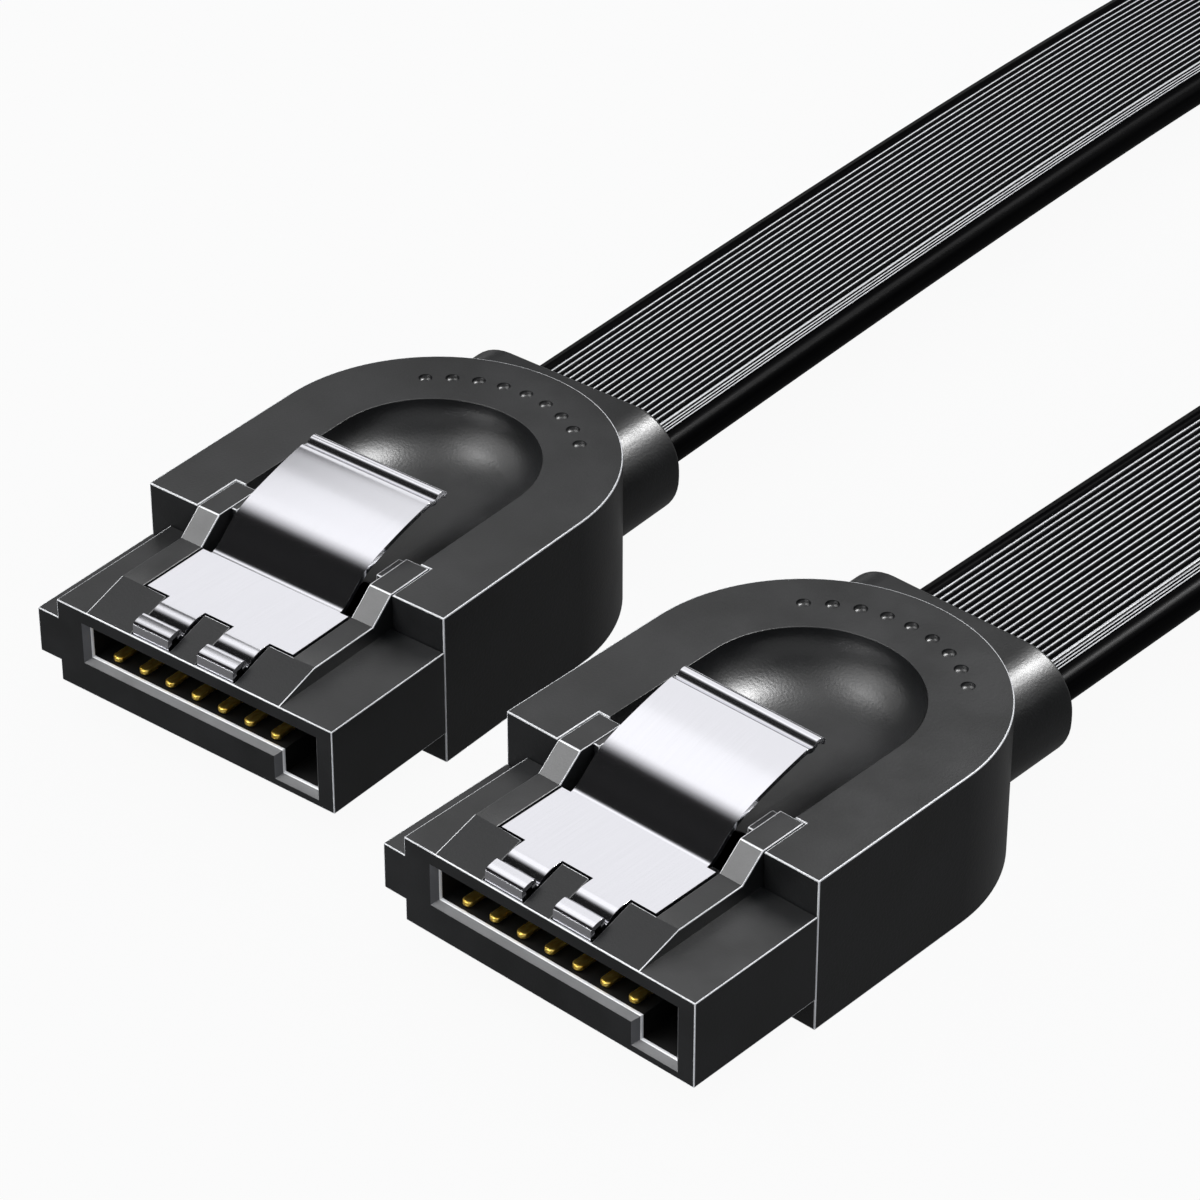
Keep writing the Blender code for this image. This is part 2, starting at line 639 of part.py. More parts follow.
def route_points():
    """The route's own points: out of plug a's collar, along the chosen route and into plug b's collar."""
    lift = CORD_CENTRE - CORD_THICKNESS / 2
    ends = {}
    for plug, twist in (("a", 0.0), ("b", 180.0)):
        along = (jacket_end, (jacket_end + collar_end) / 2, collar_end)
        spots = [plug_frames[plug] @ Vector((0.0, y, 0.0)) for y in along]
        ends[plug] = [(spot.x, spot.y, lift, twist) for spot in spots]
    middle = [(x * MM, y * MM, height * MM, twist) for x, y, height, twist in ROUTE]
    return ends["a"] + middle + ends["b"][::-1]


def smooth(before, start, end, after, share):
    """A Catmull-Rom curve between two values."""
    return 0.5 * (2 * start + (end - before) * share + (2 * before - 5 * start + 4 * end - after) * share ** 2
                  + (3 * start - before - 3 * end + after) * share ** 3)


def stations():
    """Places along the cord with the direction of travel, the direction of the cord's width and its twist."""
    points = route_points()
    last = len(points) - 1
    rows = []
    for index in range(last):
        around = [points[max(index - 1, 0)], points[index], points[index + 1], points[min(index + 2, last)]]
        straight = index < 2 or index >= last - 2
        steps = 1 if straight else STEPS_PER_POINT
        for step in range(steps):
            rows.append([smooth(*values, step / steps) for values in zip(*around)])
    rows.append(points[last])
    places = []
    twists = []
    for x, y, lift, twist in rows:
        twist = min(max(twist, 0.0), 180.0)
        places.append(Vector((x, y, resting_height(twist) + max(lift, 0.0))))
        twists.append(math.radians(twist))
    result = []
    for index, place in enumerate(places):
        travel = (places[min(index + 1, len(places) - 1)] - places[max(index - 1, 0)]).normalized()
        right = travel.cross(Vector((0, 0, 1))).normalized()
        upward = right.cross(travel)
        width = right * math.cos(twists[index]) + upward * math.sin(twists[index])
        result.append((place, travel, width, twists[index]))
    return result


def flat_cord(name, collection, outline, places, guides):
    """A section drawn once as a guide and swept along the cord, turned at each place to follow its width."""
    guide = bpy.data.curves.new(name + "_section", "CURVE")
    guide.dimensions = "2D"
    ring = guide.splines.new("POLY")
    ring.points.add(len(outline) - 1)
    for point, place in zip(ring.points, outline):
        point.co = (place[0], place[1], 0.0, 1.0)
    ring.use_cyclic_u = True
    section = bpy.data.objects.new(name + "_section", guide)
    section.display_type = "WIRE"
    section.hide_render = True
    guides.objects.link(section)
    curve = bpy.data.curves.new(name, "CURVE")
    curve.dimensions = "3D"
    curve.twist_mode = "Z_UP"
    curve.bevel_mode = "OBJECT"
    curve.bevel_object = section
    curve.use_fill_caps = True
    spline = curve.splines.new("POLY")
    spline.points.add(len(places) - 1)
    for point, (place, travel, width, twist) in zip(spline.points, places):
        point.co = (*place, 1.0)
        point.tilt = -twist
    path = bpy.data.objects.new(name + "_path", curve)
    collection.objects.link(path)
    return from_curve(name, path, collection)


def flat_section(width, height, radius, steps):
    """A rounded rectangle with extra points along its long sides, so a twisting cord's skin stays even."""
    outline = rounded_rectangle((0, 0), width, height, radius, steps)
    corners = [outline[corner * (steps + 1):(corner + 1) * (steps + 1)] for corner in range(4)]
    across = width / 2 - radius
    points = []
    for corner, places in enumerate(corners):
        points.extend(places)
        if corner in (0, 2):
            side = 1 if corner == 0 else -1
            for division in range(1, SECTION_DIVISIONS):
                share = 1 - 2 * division / SECTION_DIVISIONS
                points.append((side * across * share, side * height / 2))
    return points


def build_jacket(parts, cutters, places):
    """Jacket of the cord, with a flat room inside for the wires."""
    outline = flat_section(CORD_WIDTH, CORD_THICKNESS, CORD_ROUND, 3)
    room = flat_section(CORE_CAVITY_WIDTH, CORE_CAVITY_HEIGHT, CORE_CAVITY_HEIGHT / 3, 1)
    jacket = flat_cord("cord_jacket", parts, outline, places, cutters)
    first, last = places[0], places[-1]
    longer = [(first[0] - first[1] * CORD_THICKNESS, *first[1:]), *places[1:-1],
              (last[0] + last[1] * CORD_THICKNESS, *last[1:])]
    cavity = flat_cord("core_cutter", cutters, room, longer, cutters)
    return cut(jacket, [cavity], "MANIFOLD")


def build_wires(parts, places, core_material, drain_material):
    """Seven wires from the contacts of plug a, through the cord, to the same contacts of plug b."""
    for index in range(CONTACT_COUNT):
        start = [plug_frames["a"] @ point for point in wire_in_plug(index)[:-1]]
        end = [plug_frames["b"] @ point for point in wire_in_plug(index)[:-1]]
        along = [place + width * wire_offset(index) for place, travel, width, twist in places]
        drain = index in DRAINS
        name = f"drain_wire_{index + 1}" if drain else f"signal_core_{index + 1}"
        wire = tube(name, parts, start + along + end[::-1], wire_size(index))
        wire.data.materials.append(drain_material if drain else core_material)


def place_in_plugs(pieces, parts, plugs):
    """Gives each plug its own copy of each finished piece, under the plug's empty."""
    for plug, empty in plugs.items():
        for name, source, material, shift in pieces:
            full_name = name.format(plug) if "{}" in name else f"{name}_{plug}"
            copy = bpy.data.objects.new(full_name, source.data)
            parts.objects.link(copy)
            copy.parent = empty
            copy.location = shift
            if not source.data.materials:
                source.data.materials.append(material)
    for source in {piece[1] for piece in pieces}:
        bpy.data.objects.remove(source, do_unlink=True)


def shade(parts):
    for obj in parts.objects:
        if obj.type == "MESH":
            obj.data.shade_smooth()
            obj.data.set_sharp_from_angle(angle=math.radians(30))


def main():
    clear_scene()
    parts = new_collection("serial_data_cable")
    cutters = new_collection("cutters")
    boot_pvc = new_material("Boot PVC", (0.040, 0.041, 0.043), 0.55)
    nose_plastic = new_material("Nose plastic", (0.030, 0.031, 0.032), 0.45)
    spring_steel = new_material("Spring steel", (0.78, 0.79, 0.80), 0.12, 1.0)
    contact_gold = new_material("Contact gold", (0.83, 0.62, 0.22), 0.25, 1.0)
    inner_plastic = new_material("Inner mould", (0.62, 0.60, 0.55), 0.60)
    jacket_pvc = new_material("Jacket PVC", (0.012, 0.012, 0.013), 0.30)
    core_plastic = new_material("Core insulation", (0.55, 0.05, 0.04), 0.50)
    drain_copper = new_material("Tinned drain wire", (0.70, 0.68, 0.66), 0.35, 1.0)

    nose = build_nose(parts, cutters)
    boot = build_boot(parts, cutters)
    spring = build_spring(parts, cutters)
    contact = build_contact(parts)
    carrier = build_carrier(parts, cutters)
    mould = build_inner_mould(parts, cutters)

    hinge = Vector((0.0, LIP_WALL + SPRING_FIT + SHEET / 2, channel_floor + SHEET / 2))
    spring.data.transform(Matrix.Translation(-hinge))
    plugs = {}
    for plug, frame in plug_frames.items():
        empty = bpy.data.objects.new(f"plug_{plug}", None)
        empty.matrix_world = frame
        parts.objects.link(empty)
        plugs[plug] = empty
    pieces = [("nose_housing", nose, nose_plastic, Vector()), ("boot", boot, boot_pvc, Vector()),
              ("latch_spring", spring, spring_steel, hinge),
              ("contact_carrier", carrier, nose_plastic, Vector()),
              ("inner_mould", mould, inner_plastic, Vector())]
    for index in range(CONTACT_COUNT):
        shift = Vector((contact_place(index), 0.0, 0.0))
        pieces.append((f"contact_{{}}_{index + 1}", contact, contact_gold, shift))
    place_in_plugs(pieces, parts, plugs)

    places = stations()
    jacket = build_jacket(parts, cutters, places)
    jacket.data.materials.append(jacket_pvc)
    build_wires(parts, places, core_plastic, drain_copper)
    shade(parts)


main()
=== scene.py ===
import math

import bmesh
import bpy
from mathutils import Matrix, Vector


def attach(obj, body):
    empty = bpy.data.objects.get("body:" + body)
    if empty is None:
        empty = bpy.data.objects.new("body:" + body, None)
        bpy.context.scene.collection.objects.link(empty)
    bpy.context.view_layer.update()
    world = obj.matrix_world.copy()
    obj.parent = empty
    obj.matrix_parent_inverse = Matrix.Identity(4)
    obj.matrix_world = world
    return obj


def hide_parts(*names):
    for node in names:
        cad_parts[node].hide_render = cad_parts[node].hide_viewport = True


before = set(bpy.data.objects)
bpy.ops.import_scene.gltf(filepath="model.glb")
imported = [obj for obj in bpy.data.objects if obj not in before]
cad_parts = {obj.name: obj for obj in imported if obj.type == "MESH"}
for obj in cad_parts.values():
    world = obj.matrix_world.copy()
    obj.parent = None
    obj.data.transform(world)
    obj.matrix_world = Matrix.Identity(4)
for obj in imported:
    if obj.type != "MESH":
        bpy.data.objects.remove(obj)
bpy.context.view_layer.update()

mm = 0.001    # sizes are in millimetres down to the studio, which is in metres
along = 0.9    # an edge lies along an axis when this share of its direction does
past = 1    # how far a cutting block reaches past the surface that it opens

# A plug's own origin is at its mating face, midway across, on the surface. Its right is +X, and its cord leaves
# along +Y.
plugFrames = {
    "a": Matrix.Translation((9.92 * mm, -12.32 * mm, 0)),
    "b": Matrix.Translation((-9.29 * mm, -10.27 * mm, 0)) @ Matrix.Rotation(math.radians(4.1), 4, "Z"),
}


def centred(half):
    return (-half, half)


def alongCurve(around, t):
    # where a rounded line through four points is, at share t of the way from the second to the third
    return [0.5 * (2 * p + (q - o) * t + (2 * o - 5 * p + 4 * q - r) * t ** 2
                   + (3 * p - o - 3 * q + r) * t ** 3) for o, p, q, r in zip(*around)]


# Camera

cameraSetup = {
    "place": (97.446, -104.886, 105.862),
    "down": 34.739,     # degrees below the horizon
    "turn": 42.427,     # degrees, from looking straight along +Y
    "lens": 146.42, "sensor": 36, "clip": (0.002, 20),
}


def addCamera(setup):
    bpy.ops.object.camera_add(location=[value * mm for value in setup["place"]],
                              rotation=(math.radians(90 - setup["down"]), 0, math.radians(setup["turn"])))
    camera = bpy.context.object
    camera.name = "photoCamera"
    camera.data.lens = setup["lens"]
    camera.data.sensor_width = setup["sensor"]
    camera.data.clip_start, camera.data.clip_end = setup["clip"]
    bpy.context.scene.camera = camera


addCamera(cameraSetup)
print("scene: camera set")


# Colours and nodes

def shade(hexColour):
    parts = [int(hexColour[i:i + 2], 16) / 255 for i in (1, 3, 5)]
    return (*[p / 12.92 if p <= 0.04045 else ((p + 0.055) / 1.055) ** 2.4 for p in parts], 1.0)


def addNode(tree, kind, settings=None, links=None):
    node = tree.nodes.new(kind)
    for name, value in (settings or {}).items():
        if name in node.inputs:
            node.inputs[name].default_value = value
        else:
            setattr(node, name, value)
    for name, source in (links or {}).items():
        tree.links.new(source, node.inputs[name])
    return node


def newMaterial(name):
    material = bpy.data.materials.new(name)
    material.use_nodes = True
    tree = material.node_tree
    tree.nodes.clear()
    return material, tree


def setRamp(node, stops):
    ramp = node.color_ramp
    while len(ramp.elements) < len(stops):
        ramp.elements.new(0.5)
    for element, (place, colour) in zip(ramp.elements, stops):
        element.position = place
        element.color = colour


def addSkin(tree, look, pattern, toneEnds, glossFrom, glossTo, settings, links=None):
    # the end of every material: tone and gloss follow the pattern
    tone = addNode(tree, "ShaderNodeValToRGB", None, {"Fac": pattern})
    setRamp(tone, ((toneEnds[0], shade(look["dark"])), (toneEnds[1], shade(look["light"]))))
    gloss = addNode(tree, "ShaderNodeMapRange", {"From Min": glossFrom[0], "From Max": glossFrom[1],
                                                "To Min": glossTo[0], "To Max": glossTo[1]}, {"Value": pattern})
    skin = addNode(tree, "ShaderNodeBsdfPrincipled", settings,
                   {"Base Color": tone.outputs["Color"], "Roughness": gloss.outputs["Result"], **(links or {})})
    addNode(tree, "ShaderNodeOutputMaterial", None, {"Surface": skin.outputs["BSDF"]})


def mouldedPlastic(name, look):
    # two close tones in soft clouds, fine spark-eroded grain in the bump, and gloss that varies a little with
    # the clouds
    material, tree = newMaterial(name)
    place = {"Vector": addNode(tree, "ShaderNodeTexCoord").outputs["Object"]}
    cloud, grain = look["cloud"] * mm, look["grain"] * mm
    clouds = addNode(tree, "ShaderNodeTexNoise", {"Scale": 1 / cloud, "Detail": 3.0}, place)
    specks = addNode(tree, "ShaderNodeTexNoise", {"Scale": 1 / grain, "Detail": 2.0}, place)
    bump = addNode(tree, "ShaderNodeBump", {"Strength": look["bump"], "Distance": grain * 0.2},
                   {"Height": specks.outputs["Fac"]})
    addSkin(tree, look, clouds.outputs["Fac"], (0.3, 0.7), (0.3, 0.7), (look["rough"] - 0.04, look["rough"] + 0.05),
            {"IOR": 1.50, "Specular IOR Level": look["specular"]}, {"Normal": bump.outputs["Normal"]})
    return material


# cloud and grain are in millimetres
plasticLooks = {
    # dull black of the overmoulded boot
    "bootPvc": {"dark": "#151617", "light": "#1b1c1e", "rough": 0.36,
                "cloud": 2.6, "grain": 0.11, "bump": 0.30, "specular": 0.34},
    # slightly harder and smoother black of the nose
    "nosePlastic": {"dark": "#151617", "light": "#1c1d1f", "rough": 0.38,
                    "cloud": 2.2, "grain": 0.09, "bump": 0.22, "specular": 0.34},
    # painted highlight: near-white corners, which draw the thin pale outlines where edges would catch the lamps
    "paintedEdgeHighlight": {"dark": "#e8e9eb", "light": "#f7f8fa", "rough": 0.38,
                   "cloud": 0.9, "grain": 0.06, "bump": 0.15, "specular": 0.5},
    # painted highlight: lighter grey on the slot's lead-in, standing in for the lamps' reflection in its flats
    "leadInHighlight": {"dark": "#525356", "light": "#5f6063", "rough": 0.42,
                    "cloud": 1.2, "grain": 0.08, "bump": 0.18, "specular": 0.5},
    # a darker painted highlight on the posts' slopes and the platform's corners
    "slopeHighlight": {"dark": "#38393b", "light": "#424345", "rough": 0.42,
                     "cloud": 1.2, "grain": 0.08, "bump": 0.18, "specular": 0.5},
    # coarse matte grain on the ramp and the tab between the fingers
    "rampPlastic": {"dark": "#17181a", "light": "#1e1f21", "rough": 0.60,
                    "cloud": 1.0, "grain": 0.10, "bump": 0.55, "specular": 0.14},
    # painted shade: deep black inside the slot, where little light reaches
    "slotShade": {"dark": "#050505", "light": "#080808", "rough": 0.60,
                    "cloud": 1.2, "grain": 0.08, "bump": 0.20, "specular": 0.2},
    # off-white insulation of the pieces inside
    "innerPlastic": {"dark": "#a8a49a", "light": "#b9b5aa", "rough": 0.55,
                     "cloud": 1.5, "grain": 0.10, "bump": 0.20, "specular": 0.5},
}
plastics = {name: mouldedPlastic(name, look) for name, look in plasticLooks.items()}

# lines has the pattern's size along x, y and z, and depth how deep it is, in millimetres
metalLooks = {
    # bright rolled stainless sheet with hair-fine lengthwise lines
    "polishedSteel": {"dark": "#e6e6ec", "light": "#e9e9ef", "rough": 0.13, "spread": 0.006,
                      "lines": (0.08, 2.5, 2.5), "depth": 0.004, "bump": 0.003},
    # warm plating over bronze, a little uneven
    "goldPlate": {"dark": "#ebbc44", "light": "#ffe27e", "rough": 0.32, "spread": 0.07,
                  "lines": (0.10, 0.3, 0.10), "depth": 0.004, "bump": 0.12},
}


def sheetMetal(name, look):
    # faint drawn-out lines in tone, gloss and bump
    material, tree = newMaterial(name)
    place = addNode(tree, "ShaderNodeTexCoord").outputs["Object"]
    stretch = addNode(tree, "ShaderNodeMapping", {"Scale": [1 / (size * mm) for size in look["lines"]]},
                      {"Vector": place})
    lines = addNode(tree, "ShaderNodeTexNoise", {"Scale": 1.0, "Detail": 2.0}, {"Vector": stretch.outputs["Vector"]})
    bump = addNode(tree, "ShaderNodeBump", {"Strength": look["bump"], "Distance": look["depth"] * mm},
                   {"Height": lines.outputs["Fac"]})
    half = look["spread"] / 2
    addSkin(tree, look, lines.outputs["Fac"], (0.25, 0.75), (0, 1), (look["rough"] - half, look["rough"] + half),
            {"Metallic": 1.0}, {"Normal": bump.outputs["Normal"]})
    return material


metals = {name: sheetMetal(name, look) for name, look in metalLooks.items()}

streakSize = (9, 0.12)    # along the cord and across it
cordLooks = {
    # glossy black sheath, with faint drawn streaks along it
    "cordPvc": {"dark": "#050506", "light": "#0a0a0b", "rough": 0.28, "specular": 0.10, "ior": 1.18},
    # painted highlight: near-white crests of the ribs, standing in for the lamps' reflection on them
    "ribCrestHighlight": {"dark": "#e6e7e9", "light": "#f6f7f9", "rough": 0.30, "specular": 0.5, "ior": 1.52},
}


def extrudedPvc(name, look):
    # drawn streaks, long along the cord and narrow across it
    material, tree = newMaterial(name)
    place = addNode(tree, "ShaderNodeUVMap", {"uv_map": "alongCord"}).outputs["UV"]
    stretch = addNode(tree, "ShaderNodeMapping", {"Scale": (*[1 / (size * mm) for size in streakSize], 1)},
                      {"Vector": place})
    streaks = addNode(tree, "ShaderNodeTexNoise", {"Scale": 1.0, "Detail": 2.0},
                      {"Vector": stretch.outputs["Vector"]})
    addSkin(tree, look, streaks.outputs["Fac"], (0.3, 0.7), (0, 1), (look["rough"] - 0.04, look["rough"] + 0.06),
            {"IOR": look["ior"], "Specular IOR Level": look["specular"]})
    return material


cordSkins = {name: extrudedPvc(name, look) for name, look in cordLooks.items()}
print("scene: materials made")


# Cord: one flat ribbed ribbon from plug a round a wide loop to plug b

cordSetup = {
    "width": 7.9, "thick": 1.5, "round": 0.5, "centre": 3.0,
    "ribs": [-2.95 + 0.3017 * i for i in range(19)],
    "fineRibs": [(2.78, 0.10), (2.965, 0.055), (3.11, 0.055), (3.25, 0.055)],    # middle and half width
    "ribHalf": 0.120, "ribHeight": 0.080, "fineHeight": 0.045,
    "crest": 0.27, "fineCrest": 0.50,    # flat share of a rib
    "shoulder": (0.66, 0.72),    # where a rib's side bends, as shares of its half width and height
    "edgeRib": (-3.36, 0.14, 0.03, 0.2),    # low rib at the left: middle, half width, height and flat share
    "sheathStart": 17.06, "collarEnd": 22.46,    # along each plug
    "stepsPerPoint": 6, "sharp": 50,
    # x, y, height above the resting height, twist in degrees
    "route": (
        (9.92, 30.0, 2.20, 0.0), (9.92, 50.0, 1.80, 0.0), (9.92, 68.0, 0.80, 0.0), (10.0, 84.0, 0.00, 4.0),
        (11.2, 102.0, 0.00, 36.0), (14.6, 121.0, 0.00, 74.0), (20.4, 141.0, 0.00, 90.0), (26.8, 161.0, 0.00, 90.0),
        (30.6, 182.0, 0.00, 90.0), (27.6, 201.0, 0.00, 90.0), (16.6, 215.5, 0.00, 90.0), (0.0, 221.0, 0.00, 90.0),
        (-16.6, 215.5, 0.00, 90.0), (-27.6, 201.0, 0.00, 90.0), (-30.6, 182.0, 0.00, 90.0),
        (-26.8, 161.0, 0.00, 90.0), (-22.6, 141.0, 0.00, 90.0), (-19.3, 121.0, 0.00, 106.0),
        (-17.4, 102.0, 0.00, 144.0), (-16.05, 84.0, 0.00, 176.0), (-14.90, 68.0, 0.80, 180.0),
        (-13.61, 50.0, 1.80, 180.0), (-12.32, 32.0, 2.20, 180.0),
    ),
}


def restingHeight(setup, twist):
    turn = math.radians(twist)
    across = (setup["width"] / 2 - setup["round"]) * abs(math.sin(turn))
    through = (setup["thick"] / 2 - setup["round"]) * abs(math.cos(turn))
    return across + through + setup["round"]


def cordStations(setup):
    # place, direction of the width and direction through the cord, at even small steps along the route
    lift = setup["centre"] - setup["thick"] / 2
    ends = {}
    for plug, twist in (("a", 0.0), ("b", 180.0)):
        start, end = setup["sheathStart"], setup["collarEnd"]
        spots = [plugFrames[plug] @ Vector((0, y * mm, 0)) / mm for y in (start, (start + end) / 2, end)]
        ends[plug] = [(spot.x, spot.y, lift, twist) for spot in spots]
    points = ends["a"] + list(setup["route"]) + ends["b"][::-1]
    last = len(points) - 1
    rows = []
    for i in range(last):
        around = [points[max(i - 1, 0)], points[i], points[i + 1], points[min(i + 2, last)]]
        steps = 1 if i < 2 or i >= last - 2 else setup["stepsPerPoint"]
        for step in range(steps):
            rows.append(alongCurve(around, step / steps))
    rows.append(points[last])
    turns = [min(max(row[3], 0.0), 180.0) for row in rows]
    middles = [Vector((row[0], row[1], restingHeight(setup, turn) + max(row[2], 0.0)))
               for row, turn in zip(rows, turns)]
    stations = []
    for i, middle in enumerate(middles):
        travel = (middles[min(i + 1, len(middles) - 1)] - middles[max(i - 1, 0)]).normalized()
        right = travel.cross(Vector((0, 0, 1))).normalized()
        turn = math.radians(turns[i])
        width = right * math.cos(turn) + right.cross(travel) * math.sin(turn)
        stations.append((middle, width, width.cross(travel)))
    return stations


def ribbedSection(setup):
    # upper side from left to right with each rib's crest marked, then the same mirrored below
    half, bend = setup["width"] / 2, setup["round"]
    base = setup["thick"] / 2 - setup["ribHeight"]
    upper = []

    def addRoundSide(middle, start):
        for i in range(4):
            angle = math.radians(start - 30 * i)
            upper.append((middle + bend * math.cos(angle), (base - bend) + bend * math.sin(angle), False))

    addRoundSide(-half + bend, 180)
    ribs = [(*setup["edgeRib"], False)]
    ribs += [(x, setup["ribHalf"], setup["ribHeight"], setup["crest"], True) for x in setup["ribs"]]
    ribs += [(x, narrow, setup["fineHeight"], setup["fineCrest"], True) for x, narrow in setup["fineRibs"]]
    out, up = setup["shoulder"]
    for middle, ribHalf, rise, crest, highlighted in ribs:
        for across, share, mark in ((-1, 0, False), (-out, up, False), (-crest, 1, highlighted), (crest, 1, False),
                                    (out, up, False), (1, 0, False)):
            upper.append((middle + ribHalf * across, base + rise * share, mark))
    addRoundSide(half - bend, 90)
    lower = []
    for i in range(len(upper) - 1, -1, -1):    # a face is marked by its first point, so marks move back by one
        x, z, mark = upper[i]
        lower.append((x, -z, upper[i - 1][2] if i else False))
    return upper + lower


def makeCord(setup):
    stations = cordStations(setup)
    section = ribbedSection(setup)
    shape = bmesh.new()
    uvLayer = shape.loops.layers.uv.new("alongCord")
    rings = []
    runs = [0.0]
    for i, (middle, width, through) in enumerate(stations):
        rings.append([shape.verts.new((middle + width * x + through * z) * mm) for x, z, mark in section])
        if i:
            runs.append(runs[-1] + (middle - stations[i - 1][0]).length * mm)
    girth = [0.0]
    for here, there in zip(section, section[1:] + section[:1]):
        girth.append(girth[-1] + math.hypot(there[0] - here[0], there[1] - here[1]) * mm)
    for i in range(len(rings) - 1):
        for j in range(len(section)):
            k = (j + 1) % len(section)
            face = shape.faces.new((rings[i][j], rings[i][k], rings[i + 1][k], rings[i + 1][j]))
            # the marked crest faces take the painted highlight
            face.material_index = 1 if section[j][2] else 0
            face.smooth = True
            for loop, (u, v) in zip(face.loops, ((i, j), (i, j + 1), (i + 1, j + 1), (i + 1, j))):
                loop[uvLayer].uv = (runs[u], girth[v])
    for ring in (rings[0], rings[-1]):
        shape.faces.new(ring)
    bmesh.ops.recalc_face_normals(shape, faces=shape.faces)
    mesh = bpy.data.meshes.new("flatCord")
    shape.to_mesh(mesh)
    shape.free()
    cord = bpy.data.objects.new("flatCord", mesh)
    bpy.context.scene.collection.objects.link(cord)
    mesh.materials.append(cordSkins["cordPvc"])
    mesh.materials.append(cordSkins["ribCrestHighlight"])
    mesh.set_sharp_from_angle(angle=math.radians(setup["sharp"]))
    path = [tuple(middle * mm) for middle, width, through in stations]
    return cord, path, runs[-1]


flatCord, cordPath, cordRun = makeCord(cordSetup)
print("scene: cord", round(cordRun, 3), "m along", len(cordPath), "places")


# Modelling by hand: blocks, picked edges and faces, cuts and finish

sameSpot = 0.002    # corners closer than this are one
nearlyFlat = 0.3    # faces that meet at less than this, in degrees, are one


def clearSelection():
    if bpy.context.object and bpy.context.object.mode != "OBJECT":
        bpy.ops.object.mode_set(mode="OBJECT")
    bpy.ops.object.select_all(action="DESELECT")


def activate(piece):
    clearSelection()
    piece.select_set(True)
    bpy.context.view_layer.objects.active = piece


def addBlock(name, x, y, z):
    clearSelection()
    spans = (x, y, z)
    bpy.ops.mesh.primitive_cube_add(size=1, location=[(low + high) / 2 * mm for low, high in spans])
    block = bpy.context.object
    block.scale = [(high - low) * mm for low, high in spans]
    bpy.ops.object.transform_apply(location=True, rotation=True, scale=True)
    block.name = name
    return block


def pick(piece, kind, test):
    # opens edit mode with the edges or faces chosen that pass; an edge gives its middle, direction and fold, and
    # a face its middle and normal
    activate(piece)
    bpy.ops.object.mode_set(mode="EDIT")
    bpy.ops.mesh.select_mode(type=kind)
    bpy.ops.mesh.select_all(action="DESELECT")
    shape = bmesh.from_edit_mesh(piece.data)
    count = 0
    if kind == "EDGE":
        for edge in shape.edges:
            ends = [vert.co / mm for vert in edge.verts]
            fold = math.degrees(edge.calc_face_angle_signed(0.0))
            if test((ends[0] + ends[1]) / 2, (ends[1] - ends[0]).normalized(), fold):
                edge.select_set(True)
                count += 1
    else:
        for face in shape.faces:
            if test(face.calc_center_median() / mm, face.normal):
                face.select_set(True)
                count += 1
    bmesh.update_edit_mesh(piece.data)
    return count


def closeEdit():
    bpy.ops.object.mode_set(mode="OBJECT")


def cutAcross(piece, y):
    # one straight cut through the whole piece, square to its length
    pick(piece, "FACE", lambda middle, normal: True)
    bpy.ops.mesh.bisect(plane_co=(0, y * mm, 0), plane_no=(0, 1, 0))
    closeEdit()


def skinSlot(piece, skin):
    return piece.data.materials.find(plastics[skin].name)


def bevelPicked(piece, test, width, steps, skin=None):
    if pick(piece, "EDGE", test):
        bpy.ops.mesh.bevel(offset=width * mm, segments=steps, profile=0.5, affect="EDGES", clamp_overlap=False,
                           material=skinSlot(piece, skin) if skin else -1)
        bpy.ops.mesh.select_all(action="SELECT")
        bpy.ops.mesh.remove_doubles(threshold=sameSpot * mm)
    closeEdit()


def paintPicked(piece, test, skin):
    if pick(piece, "FACE", test):
        shape = bmesh.from_edit_mesh(piece.data)
        for face in shape.faces:
            if face.select:
                face.material_index = skinSlot(piece, skin)
        bmesh.update_edit_mesh(piece.data)
    closeEdit()


def movePicked(piece, test, shift):
    # moves the corners that pass, each picked by its place
    activate(piece)
    bpy.ops.object.mode_set(mode="EDIT")
    bpy.ops.mesh.select_mode(type="VERT")
    bpy.ops.mesh.select_all(action="DESELECT")
    shape = bmesh.from_edit_mesh(piece.data)
    for vert in shape.verts:
        if test(vert.co / mm):
            vert.select_set(True)
    bmesh.update_edit_mesh(piece.data)
    bpy.ops.transform.translate(value=[value * mm for value in shift])
    closeEdit()


def carve(piece, tools, how="DIFFERENCE"):
    for tool in tools:
        change = piece.modifiers.new(tool.name, "BOOLEAN")
        change.operation = how
        change.solver = "EXACT"
        change.object = tool
        activate(piece)
        bpy.ops.object.modifier_apply(modifier=change.name)
        bpy.data.objects.remove(tool, do_unlink=True)
    pick(piece, "FACE", lambda middle, normal: True)
    bpy.ops.mesh.remove_doubles(threshold=sameSpot * mm)
    bpy.ops.mesh.dissolve_limited(angle_limit=math.radians(nearlyFlat), delimit={"MATERIAL"})
    closeEdit()


def finishSurface(piece, angle=30):
    activate(piece)
    bpy.ops.object.shade_smooth_by_angle(angle=math.radians(angle))
    evenNormals = piece.modifiers.new("evenNormals", "WEIGHTED_NORMAL")
    evenNormals.keep_sharp = True
    evenNormals.weight = 100
    bpy.ops.object.modifier_apply(modifier=evenNormals.name)


def setInPlugs(model, stem, body, nodes):
    # each plug gets its own copy of the finished piece, which stands for the CAD nodes with the plug's letter
    pieces = []
    for plug, plugFrame in plugFrames.items():
        activate(model)
        bpy.ops.object.duplicate(linked=False)
        piece = bpy.context.object
        piece.name = stem + "_" + plug
        piece.data.name = piece.name
        piece.matrix_world = plugFrame
        bpy.ops.object.transform_apply(location=True, rotation=True, scale=True)
        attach(piece, body.format(plug))
        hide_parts(*[node.format(plug) for node in nodes])
        pieces.append(piece)
    bpy.data.objects.remove(model, do_unlink=True)
    return pieces


# Boot: round-ended block with a thumb hollow and a collar for the cord

